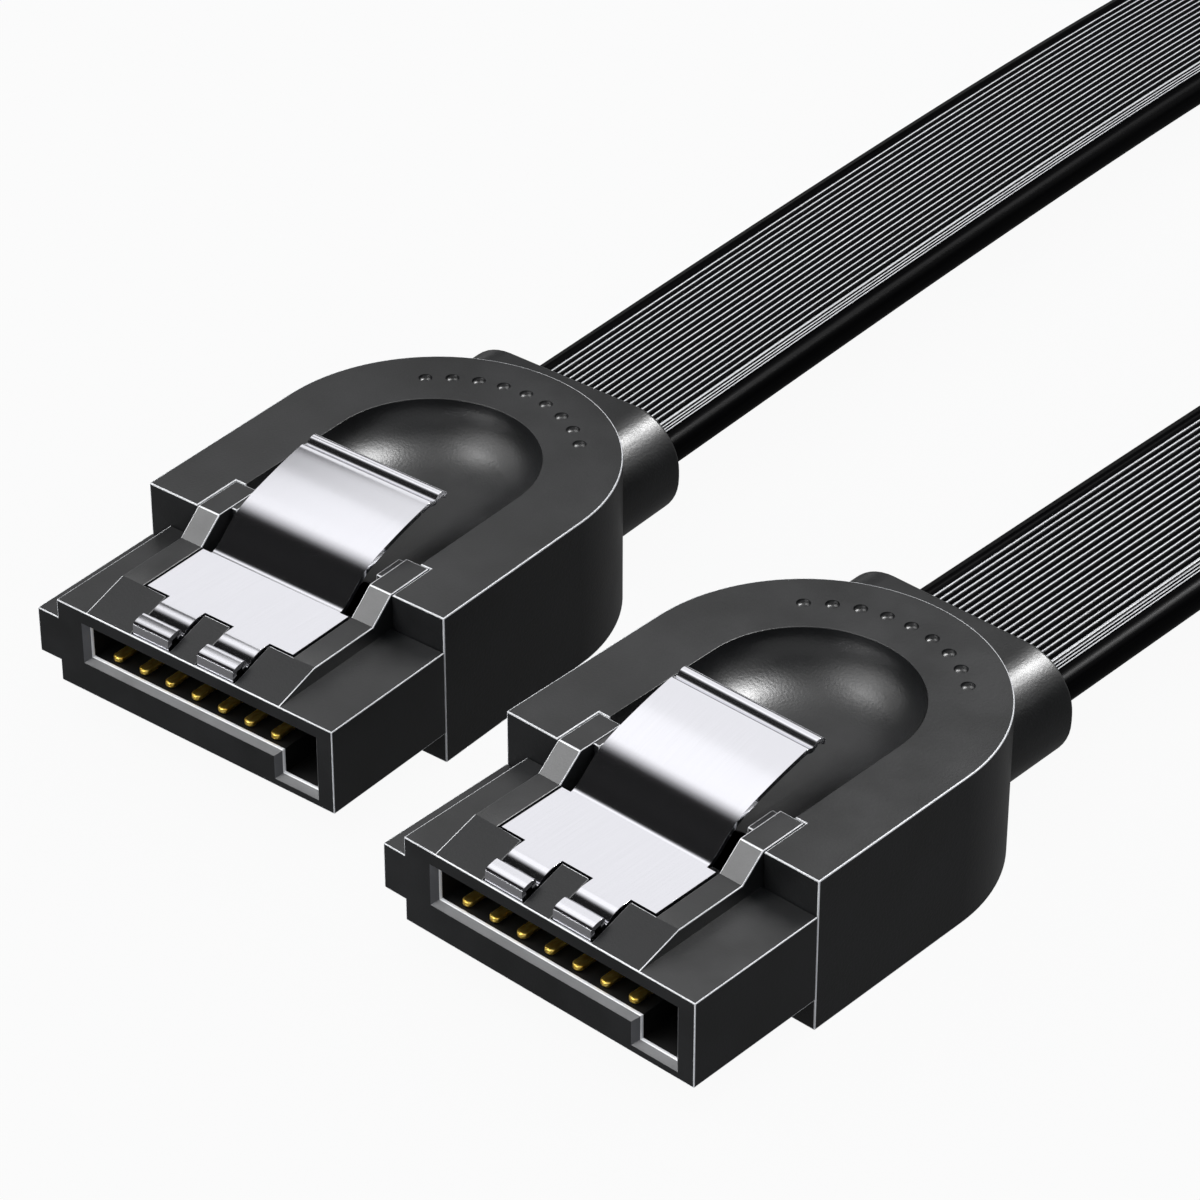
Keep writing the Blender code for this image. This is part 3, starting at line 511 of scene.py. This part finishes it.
bootSetup = {
    "side": 7.10, "front": 6.16, "rear": 21.16, "top": 6.38, "edge": 0.052,
    "sharp": 35,    # least fold in degrees of an edge that is rounded
    "collarSide": 5.25, "collarFront": 15, "collarEnd": 22.46, "collarHeights": (1.10, 5.70),
    "collarRound": 2.15, "collarEdge": 0.16,
    "hollowSide": 4.22, "hollowFront": 6.5, "hollowRear": 18.05, "hollowFloor": 4.52, "hollowSweep": 3.2,
    # rooms for the nose, its posts, the spring, the inner mould and the cord
    "roomFront": 5, "postRoomSide": 4.70, "postRoomRear": 8.29, "springRoomSide": 3.56, "springRoomFloor": 4.51,
    "noseRoomSide": 5.70, "noseRoomRear": 9.06, "mouldRoomSide": 5.40, "mouldRoomRear": 17.06,
    "innerHeights": (1.65, 4.21), "postFeet": ((-4.75, -3.54), (3.54, 4.75)), "postFootHeights": (3.0, 5.0),
    "cordRoomSide": 4.02, "cordRoomLength": (16.5, 23.5), "cordRoomHeights": (2.18, 3.82), "cordRoomRound": 0.55,
    "dimples": 9, "dimpleSpread": 86, "dimpleRow": 5.53, "dimpleCentre": 14.06, "dimpleSize": 0.54,
    "dimpleDepth": 0.17,
}


def makeHollow(setup):
    # Swept up steeply from a flat floor: the tool is bevelled tall, then squashed to its real depth.
    top, sweep = setup["top"], setup["hollowSweep"]
    hollow = addBlock("hollow", centred(setup["hollowSide"]), (setup["hollowFront"], setup["hollowRear"]),
                      (-sweep * 1.02, past))
    bevelPicked(hollow, lambda middle, way, fold: abs(way.z) > along and middle.y > setup["hollowRear"] - 1,
                setup["hollowSide"] - 0.001, 24)
    bevelPicked(hollow, lambda middle, way, fold: middle.z < -sweep and middle.y > setup["hollowFront"] + 0.5
                and fold > 40, sweep, 14)
    activate(hollow)
    bpy.ops.object.mode_set(mode="EDIT")
    bpy.ops.mesh.select_all(action="SELECT")
    squash = sweep / (top - setup["hollowFloor"])
    bpy.ops.transform.resize(value=(1, 1, 1 / squash), center_override=(0, 0, 0))
    bpy.ops.transform.translate(value=(0, 0, top * mm))
    closeEdit()
    return hollow


def makeDimples(setup):
    dimples = []
    for i in range(setup["dimples"]):
        angle = math.radians(90 + setup["dimpleSpread"] * (i / (setup["dimples"] - 1) - 0.5))
        place = (setup["dimpleRow"] * math.cos(angle), setup["dimpleCentre"] + setup["dimpleRow"] * math.sin(angle),
                 setup["top"])
        clearSelection()
        bpy.ops.mesh.primitive_cylinder_add(vertices=24, radius=setup["dimpleSize"] / 2 * mm,
                                            depth=setup["dimpleDepth"] * 2 * mm,
                                            location=[value * mm for value in place])
        bpy.ops.object.transform_apply(location=True, rotation=True, scale=True)
        dimple = bpy.context.object
        bevelPicked(dimple, lambda middle, way, fold: middle.z < setup["top"] and abs(way.z) < 0.5,
                    setup["dimpleSize"] * 0.3, 3)
        dimples.append(dimple)
    return dimples


def makeBoot(setup):
    side, rear, top = setup["side"], setup["rear"], setup["top"]
    boot = addBlock("boot", centred(side), (setup["front"], rear), (0, top))
    bevelPicked(boot, lambda middle, way, fold: abs(way.z) > along and middle.y > rear - 0.1, side - 0.001, 32)
    collar = addBlock("collar", centred(setup["collarSide"]), (setup["collarFront"], setup["collarEnd"]),
                      setup["collarHeights"])
    bevelPicked(collar, lambda middle, way, fold: abs(way.y) > along, setup["collarRound"], 12)
    bevelPicked(collar, lambda middle, way, fold: middle.y > setup["collarEnd"] - 0.01, setup["collarEdge"], 4)
    carve(boot, [collar], "UNION")

    postLength = (setup["roomFront"], setup["postRoomRear"])
    openTop = (setup["springRoomFloor"], top + past)
    hollow = makeHollow(setup)
    rooms = [addBlock("springRoom", centred(setup["springRoomSide"]), postLength, openTop),
             addBlock("postRoom", centred(setup["postRoomSide"]), postLength, openTop)]
    for name in ("noseRoom", "mouldRoom"):
        rooms.append(addBlock(name, centred(setup[name + "Side"]), (setup["roomFront"], setup[name + "Rear"]),
                              setup["innerHeights"]))
    rooms += [addBlock("postFoot", foot, postLength, setup["postFootHeights"]) for foot in setup["postFeet"]]
    cordRoom = addBlock("cordRoom", centred(setup["cordRoomSide"]), setup["cordRoomLength"],
                        setup["cordRoomHeights"])
    bevelPicked(cordRoom, lambda middle, way, fold: abs(way.y) > along, setup["cordRoomRound"], 6)
    carve(boot, [hollow, *rooms, cordRoom])

    boot.data.materials.append(plastics["bootPvc"])
    boot.data.materials.append(plastics["paintedEdgeHighlight"])

    def onRim(place):    # round the hollow, where the corner gets no painted highlight and stays as dark as the rest
        return (place.z > top - 0.05 and abs(place.x) < setup["hollowSide"] + 0.05
                and setup["postRoomRear"] + 0.3 < place.y < setup["hollowRear"] + 0.05)

    def onShell(place):    # all outer corners but the upright ones beside the posts
        besidePost = abs(abs(place.x) - setup["postRoomSide"]) < 0.06 and place.z < top - 0.1
        outside = place.z > setup["springRoomFloor"] + 0.09 or place.y < setup["front"] + 0.04 or place.z < 0.05
        return outside and place.y < rear + 0.14 and not besidePost

    sharp, edge = setup["sharp"], setup["edge"]
    # the rim keeps the plain black, and the other outer corners get the near-white painted highlight
    bevelPicked(boot, lambda middle, way, fold: fold > sharp and onRim(middle), edge, 2, "bootPvc")
    bevelPicked(boot, lambda middle, way, fold: fold > sharp and onShell(middle) and not onRim(middle),
                edge, 2, "paintedEdgeHighlight")
    carve(boot, makeDimples(setup))
    finishSurface(boot)
    return boot


boots = setInPlugs(makeBoot(bootSetup), "bootShell", "plugs_and_cord", ["boot_{}"])
print("scene: boots made")


# Nose: housing with a side rib, a raised platform, two posts and the L-shaped slot

noseSetup = {
    "left": -6.10, "right": 7.10, "low": 1.33, "high": 4.90, "end": 6.12, "edge": 0.038,
    "sharp": 28,    # least fold in degrees of an edge that is rounded
    "ribOut": -7.10, "ribHeights": (2.22, 4.13),
    "tongueSide": 5.60, "tongueLength": (3, 8.96), "tongueHeights": (1.75, 4.11),
    "platformSide": 4.65, "platformLow": 4.0, "platformHigh": 5.50, "rampEnd": 2.0,
    "postHigh": 6.38, "slopeStart": 5.14, "slopeEnd": 6.17, "postEnd": 8.25,
    "ledgeIn": 3.36, "ledgeFront": 6.85, "ledgeLow": 5.55,
    "slotLeft": -4.64, "slotLow": 2.87, "slotTop": 4.11, "slotRight": 6.13, "keyLeft": 4.57, "keyLow": 1.88,
    "slotDepth": 4.95, "leadIn": 0.26,
    "carrierSides": (-4.72, 4.98), "carrierHeights": (2.05, 3.81), "roomRear": 9.5,
    "seatSide": 3.62, "seatFront": 2.0, "seatFloor": 4.51, "seatTop": 7,
    "fingers": ((-2.48, -0.62), (0.62, 2.48)), "lip": 0.09, "fingerRear": 3.0,
}


def makePlatform(setup):
    # platform and posts from one block: cut across, then its top corners lowered to the ramp and the flat
    postHigh = setup["postHigh"]
    platform = addBlock("platform", centred(setup["platformSide"]), (0, setup["postEnd"]),
                        (setup["platformLow"], postHigh))
    for cutAt in ("rampEnd", "slopeStart", "slopeEnd"):
        cutAcross(platform, setup[cutAt])
    onTop = postHigh - 0.01
    movePicked(platform, lambda place: place.z > onTop and place.y < 0.01,
               (0, 0, setup["high"] + 0.001 - postHigh))
    movePicked(platform, lambda place: place.z > onTop and place.y < setup["slopeStart"] + 0.01,
               (0, 0, setup["platformHigh"] - postHigh))
    return platform


def makeSlotCutter(setup):
    leadIn = setup["leadIn"]
    length = (-past, setup["slotDepth"])
    slot = addBlock("slot", (setup["slotLeft"], setup["slotRight"]), length, (setup["slotLow"], setup["slotTop"]))
    key = addBlock("key", (setup["keyLeft"], setup["slotRight"]), length, (setup["keyLow"], setup["slotTop"]))
    carve(slot, [key], "UNION")
    # the mouth: the slot's front end starts at the face and is drawn outward all round into a lead-in
    cutAcross(slot, leadIn)
    movePicked(slot, lambda place: place.y < -0.9, (0, past - 0.01, 0))
    flare = leadIn + 0.01
    for axis, edge, way in ((0, "slotLeft", -1), (0, "keyLeft", -1), (0, "slotRight", 1),
                            (2, "slotTop", 1), (2, "slotLow", -1), (2, "keyLow", -1)):
        shift = [0, 0, 0]
        shift[axis] = way * flare
        movePicked(slot, lambda place: place.y < 0.01 and abs(place[axis] - setup[edge]) < 0.01, shift)
    return slot


def makeNose(setup):
    high, platformHigh, leadIn = setup["high"], setup["platformHigh"], setup["leadIn"]
    nose = addBlock("nose", (setup["left"], setup["right"]), (0, setup["end"]), (setup["low"], high))
    rib = addBlock("rib", (setup["ribOut"], setup["left"] + 0.5), (0, setup["end"]), setup["ribHeights"])
    tongue = addBlock("tongue", centred(setup["tongueSide"]), setup["tongueLength"], setup["tongueHeights"])
    platform = makePlatform(setup)
    ledges = [addBlock("ledge", sorted((side * setup["ledgeIn"], side * (setup["seatSide"] + 0.3))),
                       (setup["ledgeFront"], setup["postEnd"] - 0.12), (setup["ledgeLow"], setup["postHigh"] - 0.04))
              for side in (-1, 1)]
    carve(nose, [rib, tongue, platform], "UNION")

    slot = makeSlotCutter(setup)
    seatHeights = (setup["seatFloor"], setup["seatTop"])
    carrierRoom = addBlock("carrierRoom", setup["carrierSides"], (setup["slotDepth"] - 0.3, setup["roomRear"]),
                           setup["carrierHeights"])
    seat = addBlock("seat", centred(setup["seatSide"]), (setup["seatFront"], setup["roomRear"]), seatHeights)
    rooms = [addBlock("fingerRoom", finger, (setup["lip"], setup["fingerRear"]), seatHeights)
             for finger in setup["fingers"]]
    carve(nose, [slot, carrierRoom, seat, *rooms])
    carve(nose, ledges, "UNION")

    for name in ("nosePlastic", "paintedEdgeHighlight", "leadInHighlight", "slotShade", "slopeHighlight", "rampPlastic"):
        nose.data.materials.append(plastics[name])

    def inSlot(place):
        return (setup["slotLeft"] - 0.3 < place.x < setup["slotRight"] + 0.3
                and setup["keyLow"] - 0.3 < place.z < setup["slotTop"] + 0.27)

    def onSlotWall(place, normal):
        return inSlot(place) and leadIn - 0.02 < place.y < setup["slotDepth"] + 0.1

    def onLeadIn(place, normal):
        return inSlot(place) and 0.05 < place.y < leadIn - 0.03 and -0.9 < normal.y < -0.5

    def onSlope(place, normal):
        return (setup["slopeStart"] < place.y < setup["slopeEnd"] and place.z > platformHigh - 0.05
                and normal.y < -0.3 and normal.z > 0.3)

    def onRamp(place, normal):
        return 0 < place.y < setup["rampEnd"] + 0.2 and place.z > high and normal.z > 0.8 and normal.y < -0.1

    def onTab(place, normal):    # between the fingers
        return (abs(place.x) < setup["fingers"][1][0] and place.y < setup["rampEnd"] + 0.2
                and place.z > high + 0.1 and normal.z > 0.8)

    # the slot's inside gets painted shade, and the lead-in, the posts' slopes and the ramp their own tones, the first
    # two as painted highlight
    for test, skin in ((onSlotWall, "slotShade"), (onLeadIn, "leadInHighlight"), (onSlope, "slopeHighlight"),
                       (onRamp, "rampPlastic"), (onTab, "rampPlastic")):
        paintPicked(nose, test, skin)

    def hidden(place):    # covered by the boot, or down in the spring's seat
        behind = place.y > setup["end"] - 0.02 and place.z < platformHigh - 0.1
        underSeat = (setup["platformLow"] < place.z < setup["seatFloor"] + 0.05 and place.y > 0.05
                     and abs(place.x) < setup["platformSide"] + 0.05)
        return behind or underSeat

    def onMouth(place):    # the lead-in's inner edge, along the bottom and the left
        return (abs(place.y - leadIn) < 0.02
                and (place.z < setup["slotLow"] + 0.05 or place.x < setup["slotLeft"] + 0.05))

    sharp, edge = setup["sharp"], setup["edge"]
    # these corners get the near-white painted highlight
    bevelPicked(nose, lambda middle, way, fold: fold > sharp and onMouth(middle), edge * 1.6, 2, "paintedEdgeHighlight")
    bevelPicked(nose, lambda middle, way, fold: fold > sharp and not hidden(middle) and not inSlot(middle),
                edge, 2, "paintedEdgeHighlight")

    def onPlatformCorner(place, normal):    # all but the right one get a dimmer painted highlight than the outer corners
        return (abs(place.x + 0.1) < setup["platformSide"] and place.z > high + 0.02
                and place.y < setup["slopeStart"] - 0.05 and 0.15 < abs(normal.x) < 0.95)

    # the platform's corners get the darker painted highlight
    paintPicked(nose, onPlatformCorner, "slopeHighlight")
    finishSurface(nose)
    return nose


noses = setInPlugs(makeNose(noseSetup), "noseShell", "plugs_and_cord", ["nose_housing_{}"])
print("scene: noses made")


# Latch spring: one bent polished sheet with two hooked fingers in front and a thumb pad behind

springSetup = {
    "columns": (-3.50, -3.10, -2.40, -0.70, 0.70, 2.40, 3.10, 3.50),
    "thick": 0.20, "level": 5.50, "edge": 0.040,
    "fingerRoot": 2.10, "padFoot": 5.10,
    # y and z of the sheet's upper side
    "fingerLine": ((1.75, 5.495), (1.54, 5.475), (1.34, 5.42), (1.17, 5.34), (1.04, 5.25), (0.945, 5.17),
                   (0.885, 5.145), (0.84, 5.18), (0.82, 5.28), (0.81, 5.39), (0.785, 5.465), (0.73, 5.505),
                   (0.64, 5.515), (0.52, 5.50), (0.38, 5.472), (0.26, 5.435), (0.17, 5.39), (0.12, 5.32),
                   (0.11, 5.20), (0.11, 4.92)),
    "padLine": ((5.24, 5.53), (5.42, 5.63), (5.67, 5.82), (6.00, 6.12), (6.33, 6.39), (6.62, 6.57), (6.95, 6.73),
                (7.35, 6.88), (7.80, 7.02), (8.70, 7.27), (9.50, 7.46), (10.00, 7.57), (10.25, 7.60),
                (10.38, 7.555), (10.48, 7.53), (10.60, 7.60), (10.76, 7.69), (10.95, 7.70), (11.10, 7.62),
                (11.16, 7.48), (11.10, 7.34)),
    "smoothSteps": 3,
    "sharp": 20, "edgeSharp": 60,    # least fold in degrees of a corner that stays crisp, and of one that is rounded
}


def makeSpring(setup):
    columns, root, foot = setup["columns"], setup["fingerRoot"], setup["padFoot"]
    clearSelection()
    bpy.ops.mesh.primitive_grid_add(x_subdivisions=len(columns) - 1, y_subdivisions=1, size=1,
                                    location=(0, (root + foot) / 2 * mm, setup["level"] * mm))
    spring = bpy.context.object
    wide = columns[-1] - columns[0]
    spring.scale = (wide * mm, (foot - root) * mm, 1)
    bpy.ops.object.transform_apply(location=True, rotation=True, scale=True)
    for i, column in enumerate(columns):    # the grid's even columns go to the fingers' and the pad's sides
        even = columns[0] + wide * i / (len(columns) - 1)
        movePicked(spring, lambda place: abs(place.x - even) < 0.01, (column - even, 0, 0))

    def drawOut(line, start, test):    # the picked edges follow a rounded line through the points, step by step
        pick(spring, "EDGE", test)
        here = start
        points = [start, start, *line, line[-1]]
        for i in range(1, len(points) - 2):
            for step in range(1, setup["smoothSteps"] + 1):
                there = alongCurve(points[i - 1:i + 3], step / setup["smoothSteps"])
                bpy.ops.mesh.extrude_edges_move(TRANSFORM_OT_translate={
                    "value": (0, (there[0] - here[0]) * mm, (there[1] - here[1]) * mm)})
                here = there
        closeEdit()

    def onFinger(middle, way, fold):
        inColumn = columns[2] < middle.x < columns[3] or columns[4] < middle.x < columns[5]
        return inColumn and middle.y < root + 0.01 and abs(way.x) > along

    def onPad(middle, way, fold):
        return abs(middle.x) < columns[6] and middle.y > foot - 0.01 and abs(way.x) > along

    drawOut(setup["fingerLine"], (root, setup["level"]), onFinger)
    drawOut(setup["padLine"], (foot, setup["level"]), onPad)
    pick(spring, "FACE", lambda middle, normal: True)
    bpy.ops.mesh.normals_make_consistent(inside=False)
    if sum(face.normal.z for face in bmesh.from_edit_mesh(spring.data).faces) < 0:
        bpy.ops.mesh.flip_normals()    # the sheet thickens downward
    closeEdit()
    changes = (
        ("sheet", "SOLIDIFY", {"thickness": setup["thick"] * mm, "offset": -1.0, "use_even_offset": True}),
        ("edges", "BEVEL", {"width": setup["edge"] * mm, "segments": 2, "limit_method": "ANGLE",
                            "angle_limit": math.radians(setup["edgeSharp"])}),
    )
    for name, kind, values in changes:
        change = spring.modifiers.new(name, kind)
        for key, value in values.items():
            setattr(change, key, value)
        activate(spring)
        bpy.ops.object.modifier_apply(modifier=change.name)
    spring.data.materials.append(metals["polishedSteel"])
    finishSurface(spring, setup["sharp"])
    return spring


setInPlugs(makeSpring(springSetup), "springSheet", "latch_{}", ["latch_spring_{}"])
print("scene: springs made")


# Contacts: seven gold bars with rounded tips, bent down a little at the front

contactSetup = {
    "first": -3.68, "pitch": 1.27, "count": 7, "half": 0.22, "thick": 0.24, "level": 3.37, "tip": 0.42, "end": 10.46,
    "bends": (1.45, 2.10), "drop": 0.32, "edge": 0.06, "sharp": 30,
}


def makeContacts(setup):
    bars = []
    for i in range(setup["count"]):
        x = setup["first"] + setup["pitch"] * i
        bar = addBlock("bar", (x - setup["half"], x + setup["half"]), (setup["tip"], setup["end"]),
                       (setup["level"] - setup["thick"] / 2, setup["level"] + setup["thick"] / 2))
        for bend in setup["bends"]:
            cutAcross(bar, bend)
        bevelPicked(bar, lambda middle, way, fold: middle.y < setup["tip"] + 0.01 and abs(way.z) > along,
                    setup["half"] * 0.9, 5)
        movePicked(bar, lambda place: place.y < setup["bends"][0] + 0.01, (0, 0, -setup["drop"]))
        bevelPicked(bar, lambda middle, way, fold: fold > setup["sharp"], setup["edge"], 3)
        bars.append(bar)
    activate(bars[0])
    for bar in bars[1:]:
        bar.select_set(True)
    bpy.ops.object.join()
    contacts = bpy.context.object
    contacts.data.materials.append(metals["goldPlate"])
    finishSurface(contacts, 40)
    return contacts


contacts = setInPlugs(makeContacts(contactSetup), "contactRow", "plugs_and_cord",
                      ["contact_{}_" + str(i + 1) for i in range(contactSetup["count"])])
print("scene: contacts made")


# Pieces of the frame that stay: the contact carriers and the inner moulds

# the contact carriers down in the slot take the painted shade
innerSkins = {"contact_carrier_": "slotShade", "inner_mould_": "innerPlastic"}

for plug in plugFrames:
    for node, skin in innerSkins.items():
        for slot in bpy.data.objects[node + plug].material_slots:
            slot.material = plastics[skin]

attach(flatCord, "plugs_and_cord")
wires = [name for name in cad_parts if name.startswith(("drain_wire", "signal_core"))]
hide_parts("cord_jacket", *wires)


# Floor, cards, lamps and background

# places and sizes are in metres here
studio = {
    "aim": (0.005, 0.0, 0.005), "floorSize": 3.0, "floorDrop": 0.00002, "floorGlow": 0.94, "skyLight": 0.50,
    # name, place, size, watts, whether polished metal shows the lamp, and whether it lights by more than gloss
    "lamps": (
        ("softKey", (-0.25, -0.35, 0.60), (0.50, 0.50), 3.1, False, True),
        ("stripBack", (0.08, 0.55, 0.70), (0.10, 0.40), 8.0, True, False),
        ("frontFill", (-0.12, -0.50, 0.11), (0.30, 0.12), 2.6, True, False),
        ("keyFront", (-0.42, -0.19, 0.60), (0.40, 0.40), 11.0, False, False),
        ("collarLight", (0.105, 0.380, 0.490), (0.20, 0.34), 6.0, False, False),
        ("padGlow", (-0.34, 0.035, 0.49), (0.22, 0.40), 0.060, True, False),
    ),
    # black cards, which only reflections show: the flag in front makes the springs' steep fronts dark, the board
    # under everything the plugs' sides, and the cordFlag over the cord its valleys
    "tone": 0.012,    # what a black card still gives back
    "flag": {"away": 0.37, "middle": (-0.5545, -0.5697, 0.6064), "rise": (0.0, 0.739, 0.674),
             "size": (0.60, 0.56), "fade": (0.30, 0.50)},
    "cards": {
        "board": {"size": (0.60, 0.60), "place": (0.10, 0.10, -0.00001), "tone": 0.16},
        "cordFlag": {"size": (0.155, 0.164), "place": (-0.0725, 0.120, 0.030)},
        "leftFlag": {"size": (0.44, 0.62), "place": (-0.35, -0.09, 0.22), "upright": True},
        "overFlag": {"size": (0.30, 0.50), "place": (0.21, -0.03, 0.50)},
        "sideFlag": {"size": (0.22, 0.60), "place": (0.40, 0.30, 0.11), "upright": True, "tone": 0.05},
    },
}


def aimAt(thing, target):
    away = thing.location - Vector(target)
    thing.rotation_euler = away.to_track_quat("Z", "Y").to_euler()


def seenDirectly(tree):
    # 1 where the camera, a reflection or something clear looks straight at it, else 0
    rays = addNode(tree, "ShaderNodeLightPath").outputs
    seen = addNode(tree, "ShaderNodeMath", {"operation": "MAXIMUM"},
                   {0: rays["Is Camera Ray"], 1: rays["Is Glossy Ray"]})
    seenToo = addNode(tree, "ShaderNodeMath", {"operation": "MAXIMUM"},
                      {0: seen.outputs[0], 1: rays["Is Transmission Ray"]})
    return seenToo.outputs[0]


def whitePaper(glowShare):
    # matte pale paper that also glows where it is seen, so that it reads as plain white
    material, tree = newMaterial("whitePaper")
    amount = addNode(tree, "ShaderNodeMath", {"operation": "MULTIPLY"}, {0: seenDirectly(tree)})
    amount.inputs[1].default_value = glowShare
    paper = addNode(tree, "ShaderNodeBsdfDiffuse", {"Color": shade("#f4f4f4")})
    glow = addNode(tree, "ShaderNodeEmission", {"Color": (1, 1, 1, 1), "Strength": 1.0})
    both = addNode(tree, "ShaderNodeMixShader", None, {0: amount.outputs[0], 1: paper.outputs[0], 2: glow.outputs[0]})
    addNode(tree, "ShaderNodeOutputMaterial", None, {"Surface": both.outputs[0]})
    return material


def velvet(name, tone, fade=(0.6, 0.7)):
    # near black, and thinner toward its upper edge
    material, tree = newMaterial(name)
    cloth = addNode(tree, "ShaderNodeEmission", {"Color": (tone, tone, tone, 1), "Strength": 1.0})
    clear = addNode(tree, "ShaderNodeBsdfTransparent")
    place = addNode(tree, "ShaderNodeTexCoord").outputs["Object"]
    height = addNode(tree, "ShaderNodeSeparateXYZ", None, {"Vector": place})
    thin = addNode(tree, "ShaderNodeMapRange", {"From Min": fade[0], "From Max": fade[1]},
                   {"Value": height.outputs["Y"]})
    both = addNode(tree, "ShaderNodeMixShader", None, {0: thin.outputs[0], 1: cloth.outputs[0], 2: clear.outputs[0]})
    addNode(tree, "ShaderNodeOutputMaterial", None, {"Surface": both.outputs[0]})
    return material


def addCard(name, size, place, turn, material):
    clearSelection()
    bpy.ops.mesh.primitive_plane_add(size=1, location=place, rotation=turn)
    card = bpy.context.object
    card.name = name
    card.scale = (*size, 1)
    card.data.materials.append(material)
    card.visible_camera = False
    card.visible_diffuse = False
    card.visible_shadow = False


def addCards(setup):
    flag = setup["flag"]
    facing = Vector(flag["middle"]).normalized()
    across = Vector(flag["rise"]).cross(facing).normalized()
    turn = Matrix((across, facing.cross(across), facing)).transposed()
    addCard("blackFlag", flag["size"], facing * flag["away"], turn.to_euler(),
            velvet("fadingVelvet", setup["tone"], flag["fade"]))
    for name, card in setup["cards"].items():
        turn = (0, math.radians(90 if "upright" in card else 0), 0)
        addCard(name, card["size"], card["place"], turn, velvet(name + "Velvet", card.get("tone", setup["tone"])))


def addLamps(setup):
    plasticPieces = bpy.data.collections.new("plasticPieces")
    for piece in (*boots, *noses, *contacts, flatCord):
        plasticPieces.objects.link(piece)
    for name, place, size, power, shown, plain in setup["lamps"]:
        bpy.ops.object.light_add(type="AREA", location=place)
        lamp = bpy.context.object
        lamp.name = name
        lamp.data.shape = "RECTANGLE"
        lamp.data.size, lamp.data.size_y = size
        lamp.data.energy = power
        lamp.visible_diffuse = plain
        aimAt(lamp, setup["aim"])
        if not shown:    # this lamp lights all but the springs
            lamp.light_linking.receiver_collection = plasticPieces


def addStudio(setup):
    clearSelection()
    bpy.ops.mesh.primitive_plane_add(size=setup["floorSize"], location=(0, 0, -setup["floorDrop"]))
    floor = bpy.context.object
    floor.name = "paleFloor"
    floor.data.materials.append(whitePaper(setup["floorGlow"]))
    addCards(setup)
    addLamps(setup)
    world = bpy.data.worlds.new("studioWorld")
    bpy.context.scene.world = world
    world.use_nodes = True
    tree = world.node_tree
    tree.nodes.clear()
    light = addNode(tree, "ShaderNodeBackground", {"Color": shade("#f2f4f8"), "Strength": setup["skyLight"]})
    white = addNode(tree, "ShaderNodeBackground", {"Color": (1, 1, 1, 1), "Strength": 1.0})
    both = addNode(tree, "ShaderNodeMixShader", None,
                   {0: seenDirectly(tree), 1: light.outputs[0], 2: white.outputs[0]})
    addNode(tree, "ShaderNodeOutputWorld", None, {"Surface": both.outputs[0]})


addStudio(studio)
bpy.context.scene.view_settings.view_transform = "Standard"
print("scene: studio set")

clearSelection()
